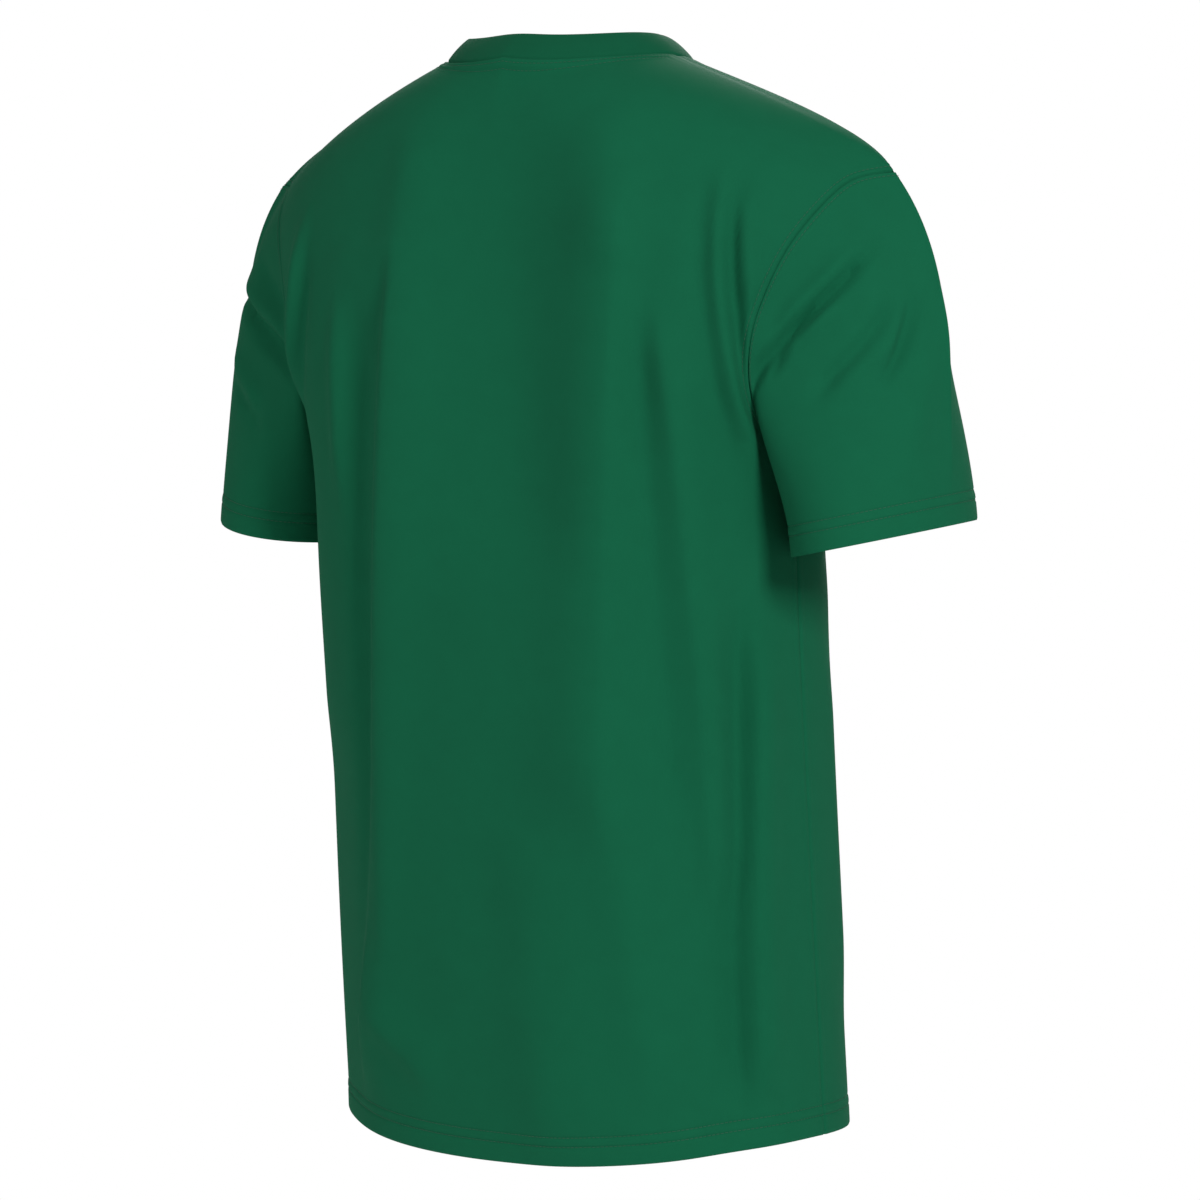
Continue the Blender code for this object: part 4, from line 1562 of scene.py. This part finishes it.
@dataclass(frozen=True)
class Knit:
    """A fine knit: columns of loops (wales) crossed by rows of loops (courses).

    Attributes:
        name: the material's name.
        light: the colour on top of the loops.
        dark: the colour between them, as painted shade in the knit's hollows; the random mottle and fibres
            also mix towards it.
        wale: the width of a column of loops in metres.
        course: the height of a row of loops.
        slant: how far a loop's legs lean, in courses.
        gap: how much lower a leg is between its loops.
        depth: how deep the knit is.
        strength: how strongly its bump shows.
        roughness: how matt it is.
        specular: how much light it reflects straight.
        sheen: how much it brightens at grazing angles.
        sheen_roughness: how softly it does so.
        sheen_tint: and in what colour.
        mottle_scale: how fine the uneven colour is.
        mottle_detail: how ragged.
        fuzz_scale: how fine the loose fibres are.
        fuzz_detail: how ragged.
        loop_painted_shade: the loops' share in the colour, which paints shade between them.
        mottle_tone: the mottle's share.
        fuzz_tone: the fibres' share.
        fuzz_height: how high the fibres stand, with a loop at 1.
    """

    name: str
    light: tuple[float, float, float, float]
    dark: tuple[float, float, float, float]
    wale: float = 0.0009
    course: float = 0.0007
    slant: float = 1.2
    gap: float = 0.45
    depth: float = 0.0002
    strength: float = 0.35
    roughness: float = 0.86
    specular: float = 0.06
    sheen: float = 0.02
    sheen_roughness: float = 0.45
    sheen_tint: tuple[float, float, float, float] = (0.3, 0.9, 0.6, 1.0)
    mottle_scale: float = 60.0
    mottle_detail: float = 3.0
    fuzz_scale: float = 900.0
    fuzz_detail: float = 2.0
    loop_painted_shade: float = 0.35
    mottle_tone: float = 0.3
    fuzz_tone: float = 0.35
    fuzz_height: float = 0.5

    def material(self) -> bpy.types.Material:
        """The knit as a material.

        Returns:
            The material.
        """
        shader = Shader(bpy.data.materials.new(self.name), "Principled BSDF")
        aside = ((shader.chart("X") / self.wale).fract() - 0.5).abs()
        leg = 1 - (aside * 4 - 1).abs()
        swing = (shader.chart("Y") / self.course + aside * self.slant).wave()
        loops = leg * (swing * self.gap + (1 - self.gap))
        mottle = shader.noise(self.mottle_scale, self.mottle_detail)
        fuzz = shader.noise(self.fuzz_scale, self.fuzz_detail)
        # The colour darkens between the loops as painted shade; the mottle and fibres add random tone.
        share = loops * self.loop_painted_shade + mottle * self.mottle_tone + fuzz * self.fuzz_tone
        sockets = {
            "Base Color": shader.colour(share, self.dark, self.light),
            "Roughness": self.roughness,
            "Metallic": 0.0,
            "Specular IOR Level": self.specular,
            "Sheen Weight": self.sheen,
            "Sheen Roughness": self.sheen_roughness,
            "Sheen Tint": self.sheen_tint,
            "Normal": shader.bump(loops + fuzz * self.fuzz_height, self.strength, self.depth),
        }
        return shader.finish(sockets)


@dataclass(frozen=True)
class Thread:
    """Sewing thread: two plies twisted together.

    Attributes:
        name: the material's name.
        light: the colour on top of the plies.
        dark: the colour between them, as painted shade in the hollows of the twist.
        twist_scale: how fine the twist is.
        twist_detail: how ragged.
        depth: how deep it is.
        strength: how strongly its bump shows.
        roughness: how matt the thread is.
    """

    name: str
    light: tuple[float, float, float, float]
    dark: tuple[float, float, float, float]
    twist_scale: float = 1400.0
    twist_detail: float = 1.0
    depth: float = 0.0001
    strength: float = 0.3
    roughness: float = 0.6

    def material(self) -> bpy.types.Material:
        """The thread as a material.

        Returns:
            The material.
        """
        shader = Shader(bpy.data.materials.new(self.name), "Principled BSDF")
        # The colour darkens where the bump is low: painted shade between the plies.
        ply = shader.noise(self.twist_scale, self.twist_detail)
        sockets = {
            "Base Color": shader.colour(ply, self.dark, self.light),
            "Roughness": self.roughness,
            "Metallic": 0.0,
            "Normal": shader.bump(ply, self.strength, self.depth),
        }
        return shader.finish(sockets)


# Each dark colour is painted shade between the loops or plies, and the dark end of the random mottle and
# fibres.
JERSEY = Knit("green_jersey", light=(0.0045, 0.1010, 0.0465, 1.0), dark=(0.0031, 0.0735, 0.0333, 1.0))
RIB = Knit(
    "green_collar_rib",
    light=(0.0040, 0.0880, 0.0400, 1.0),
    dark=(0.0027, 0.0620, 0.0280, 1.0),
    wale=0.0012,
    strength=0.45,
)
THREAD = Thread("green_thread", light=(0.0045, 0.074, 0.034, 1.0), dark=(0.0028, 0.047, 0.021, 1.0))


# ---------------------------------------------------------------- the studio


@dataclass(frozen=True)
class Stand:
    """A place to look at the garment from.

    Attributes:
        azimuth: the turn in degrees; 0 looks along +Y.
        elevation: how far above level, in degrees.
        distance: how far away, in metres.
    """

    azimuth: float
    elevation: float
    distance: float

    def put(
        self, name: str, data: bpy.types.Light | bpy.types.Camera, target: Vector
    ) -> bpy.types.Object:
        """Puts a light or camera here, facing the target.

        Args:
            name: its name.
            data: its settings.
            target: what it faces.

        Returns:
            The light or camera.
        """
        turn, lift = math.radians(self.azimuth), math.radians(self.elevation)
        away = Vector((math.sin(turn) * math.cos(lift), -math.cos(turn) * math.cos(lift), math.sin(lift)))
        held = bpy.data.objects.new(name, data)
        bpy.context.scene.collection.objects.link(held)
        held.location = target + away * self.distance
        held.rotation_euler = away.to_track_quat("Z", "Y").to_euler()
        return held


@dataclass(frozen=True)
class SoftLight:
    """A square soft light.

    Attributes:
        name: its name.
        stand: where it hangs.
        size: the length of its sides in metres.
        power: its power in watts.
    """

    name: str
    stand: Stand
    size: float
    power: float

    def set_up(self, target: Vector) -> None:
        """Hangs the light.

        Args:
            target: what it faces.
        """
        data = bpy.data.lights.new(self.name, "AREA")
        data.energy = self.power
        data.size = self.size
        self.stand.put(self.name, data, target)


@dataclass(frozen=True)
class Studio:
    """A pale floor, soft light and the camera of the photo.

    Attributes:
        camera: where the camera stands.
        target_height: the height of the point that it faces.
        target_aside: how far to its right that point is.
        lens: the focal length in millimetres.
        sensor: the width of the sensor.
        clip_start: nothing nearer than this shows, in metres.
        floor_height: the height of the floor, far below the hanging garment.
        floor_size: the length of its sides.
        floor_colour: its colour.
        floor_roughness: how matt it is.
        world_colour: the colour of the light all round.
        world_strength: its strength on the garment.
        backdrop_strength: its strength straight behind the garment.
        lights: the soft lights.
    """

    camera: Stand = Stand(215.0, 3.05, 3.39)
    target_height: float = -0.369
    target_aside: float = 0.019
    lens: float = 149.5
    sensor: float = 36.0
    clip_start: float = 0.05
    floor_height: float = -1.6
    floor_size: float = 4.0
    floor_colour: tuple[float, float, float, float] = (0.9, 0.9, 0.9, 1.0)
    floor_roughness: float = 0.9
    world_colour: tuple[float, float, float, float] = (1.0, 1.0, 1.0, 1.0)
    world_strength: float = 0.39
    backdrop_strength: float = 1.0
    lights: tuple[SoftLight, ...] = (
        SoftLight("key", Stand(243.0, 24.0, 3.4), 0.8, 98.0),
        SoftLight("fill", Stand(150.0, 14.0, 3.4), 1.4, 34.0),
        SoftLight("front", Stand(25.0, 30.0, 3.4), 1.6, 115.0),
    )

    def set_up(self) -> None:
        """Builds the floor, hangs the lights and places the camera."""
        self._lay_floor()
        self._light_world()
        turn = math.radians(self.camera.azimuth)
        aside = Vector((math.cos(turn), math.sin(turn), 0)) * self.target_aside
        target = Vector((0, 0, self.target_height)) + aside
        for light in self.lights:
            light.set_up(target)
        data = bpy.data.cameras.new("camera")
        data.lens = self.lens
        data.sensor_width = self.sensor
        data.clip_start = self.clip_start
        bpy.context.scene.camera = self.camera.put("camera", data, target)
        bpy.context.scene.view_settings.view_transform = "Standard"

    def _lay_floor(self) -> None:
        """Lays the pale floor."""
        deselect_all()
        bpy.ops.mesh.primitive_plane_add(size=self.floor_size, location=(0, 0, self.floor_height))
        floor = take_up("floor", bpy.context.active_object)
        shader = Shader(bpy.data.materials.new("pale_floor"), "Principled BSDF")
        sockets = {"Base Color": self.floor_colour, "Roughness": self.floor_roughness}
        floor.data.materials.append(shader.finish(sockets))

    def _light_world(self) -> None:
        """Lights the world all round, brighter where the camera sees it straight."""
        shader = Shader(bpy.data.worlds.new("studio"), "Background")
        strength = shader.node(
            "ShaderNodeMapRange",
            {},
            {
                "To Min": self.world_strength,
                "To Max": self.backdrop_strength,
                "Value": shader.node("ShaderNodeLightPath", {}, {}, "Is Camera Ray"),
            },
            "Result",
        )
        bpy.context.scene.world = shader.finish({"Color": self.world_colour, "Strength": strength})


# ---------------------------------------------------------------- the garment


def dress(
    piece: bpy.types.Object, material: bpy.types.Material, nodes: tuple[str, ...] = ()
) -> bpy.types.Object:
    """Gives a piece its finish, its body and the nodes that it stands for.

    Args:
        piece: the piece.
        material: its finish.
        nodes: the nodes that it replaces.

    Returns:
        The same piece.
    """
    piece.data.materials.clear()
    piece.data.materials.append(material)
    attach(piece, BODY_NAME)
    if nodes:
        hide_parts(*nodes)
    LOG.info("%s: %d faces", piece.name, len(piece.data.polygons))
    return piece


def main() -> None:
    """Builds the garment, piece by piece, and the studio round it."""
    logging.basicConfig(level=logging.INFO, format="%(name)s %(message)s")
    jersey, rib, thread = JERSEY.material(), RIB.material(), THREAD.material()
    form = WornForm()
    tailor = Tailor()
    rows: dict[Seam, list[StitchLine]] = {}

    panels = (
        BodyPanel(form, Side.BACK, BACK_FOLDS, flat=(0.51, 0.76), area=0.365),
        BodyPanel(form, Side.FRONT, FRONT_FOLDS, flat=(0.51, 0.74), area=0.347),
    )
    for panel in panels:
        cloth = panel.cloth()
        name = panel.side.value
        piece = dress(tailor.sheet(f"{name}_panel", cloth), jersey, (name,))
        for seam, lines in panel.stitch_lines(cloth).items():
            rows.setdefault(seam, []).extend(lines)

    sleeves = (Sleeve(form, LEFT_SLEEVE_FOLDS, Hand.LEFT), Sleeve(form, RIGHT_SLEEVE_FOLDS, Hand.RIGHT))
    for sleeve in sleeves:
        cloth = sleeve.cloth()
        name = f"sleeve_{sleeve.hand.name.lower()}"
        piece = dress(tailor.sheet(f"{name}_cloth", cloth, ring=True), jersey, (name,))
        for seam, lines in sleeve.stitch_lines(cloth).items():
            rows.setdefault(seam, []).extend(lines)

    collar = CollarBand(form)
    piece = dress(tailor.band("collar_band", collar.cloth()), rib, ("collar",))

    stitch = StitchRow()
    for seam, lines in rows.items():
        dress(stitch.sew(f"{seam.value}_stitching", lines), thread)

    Studio().set_up()


if __name__ == "__main__":
    main()
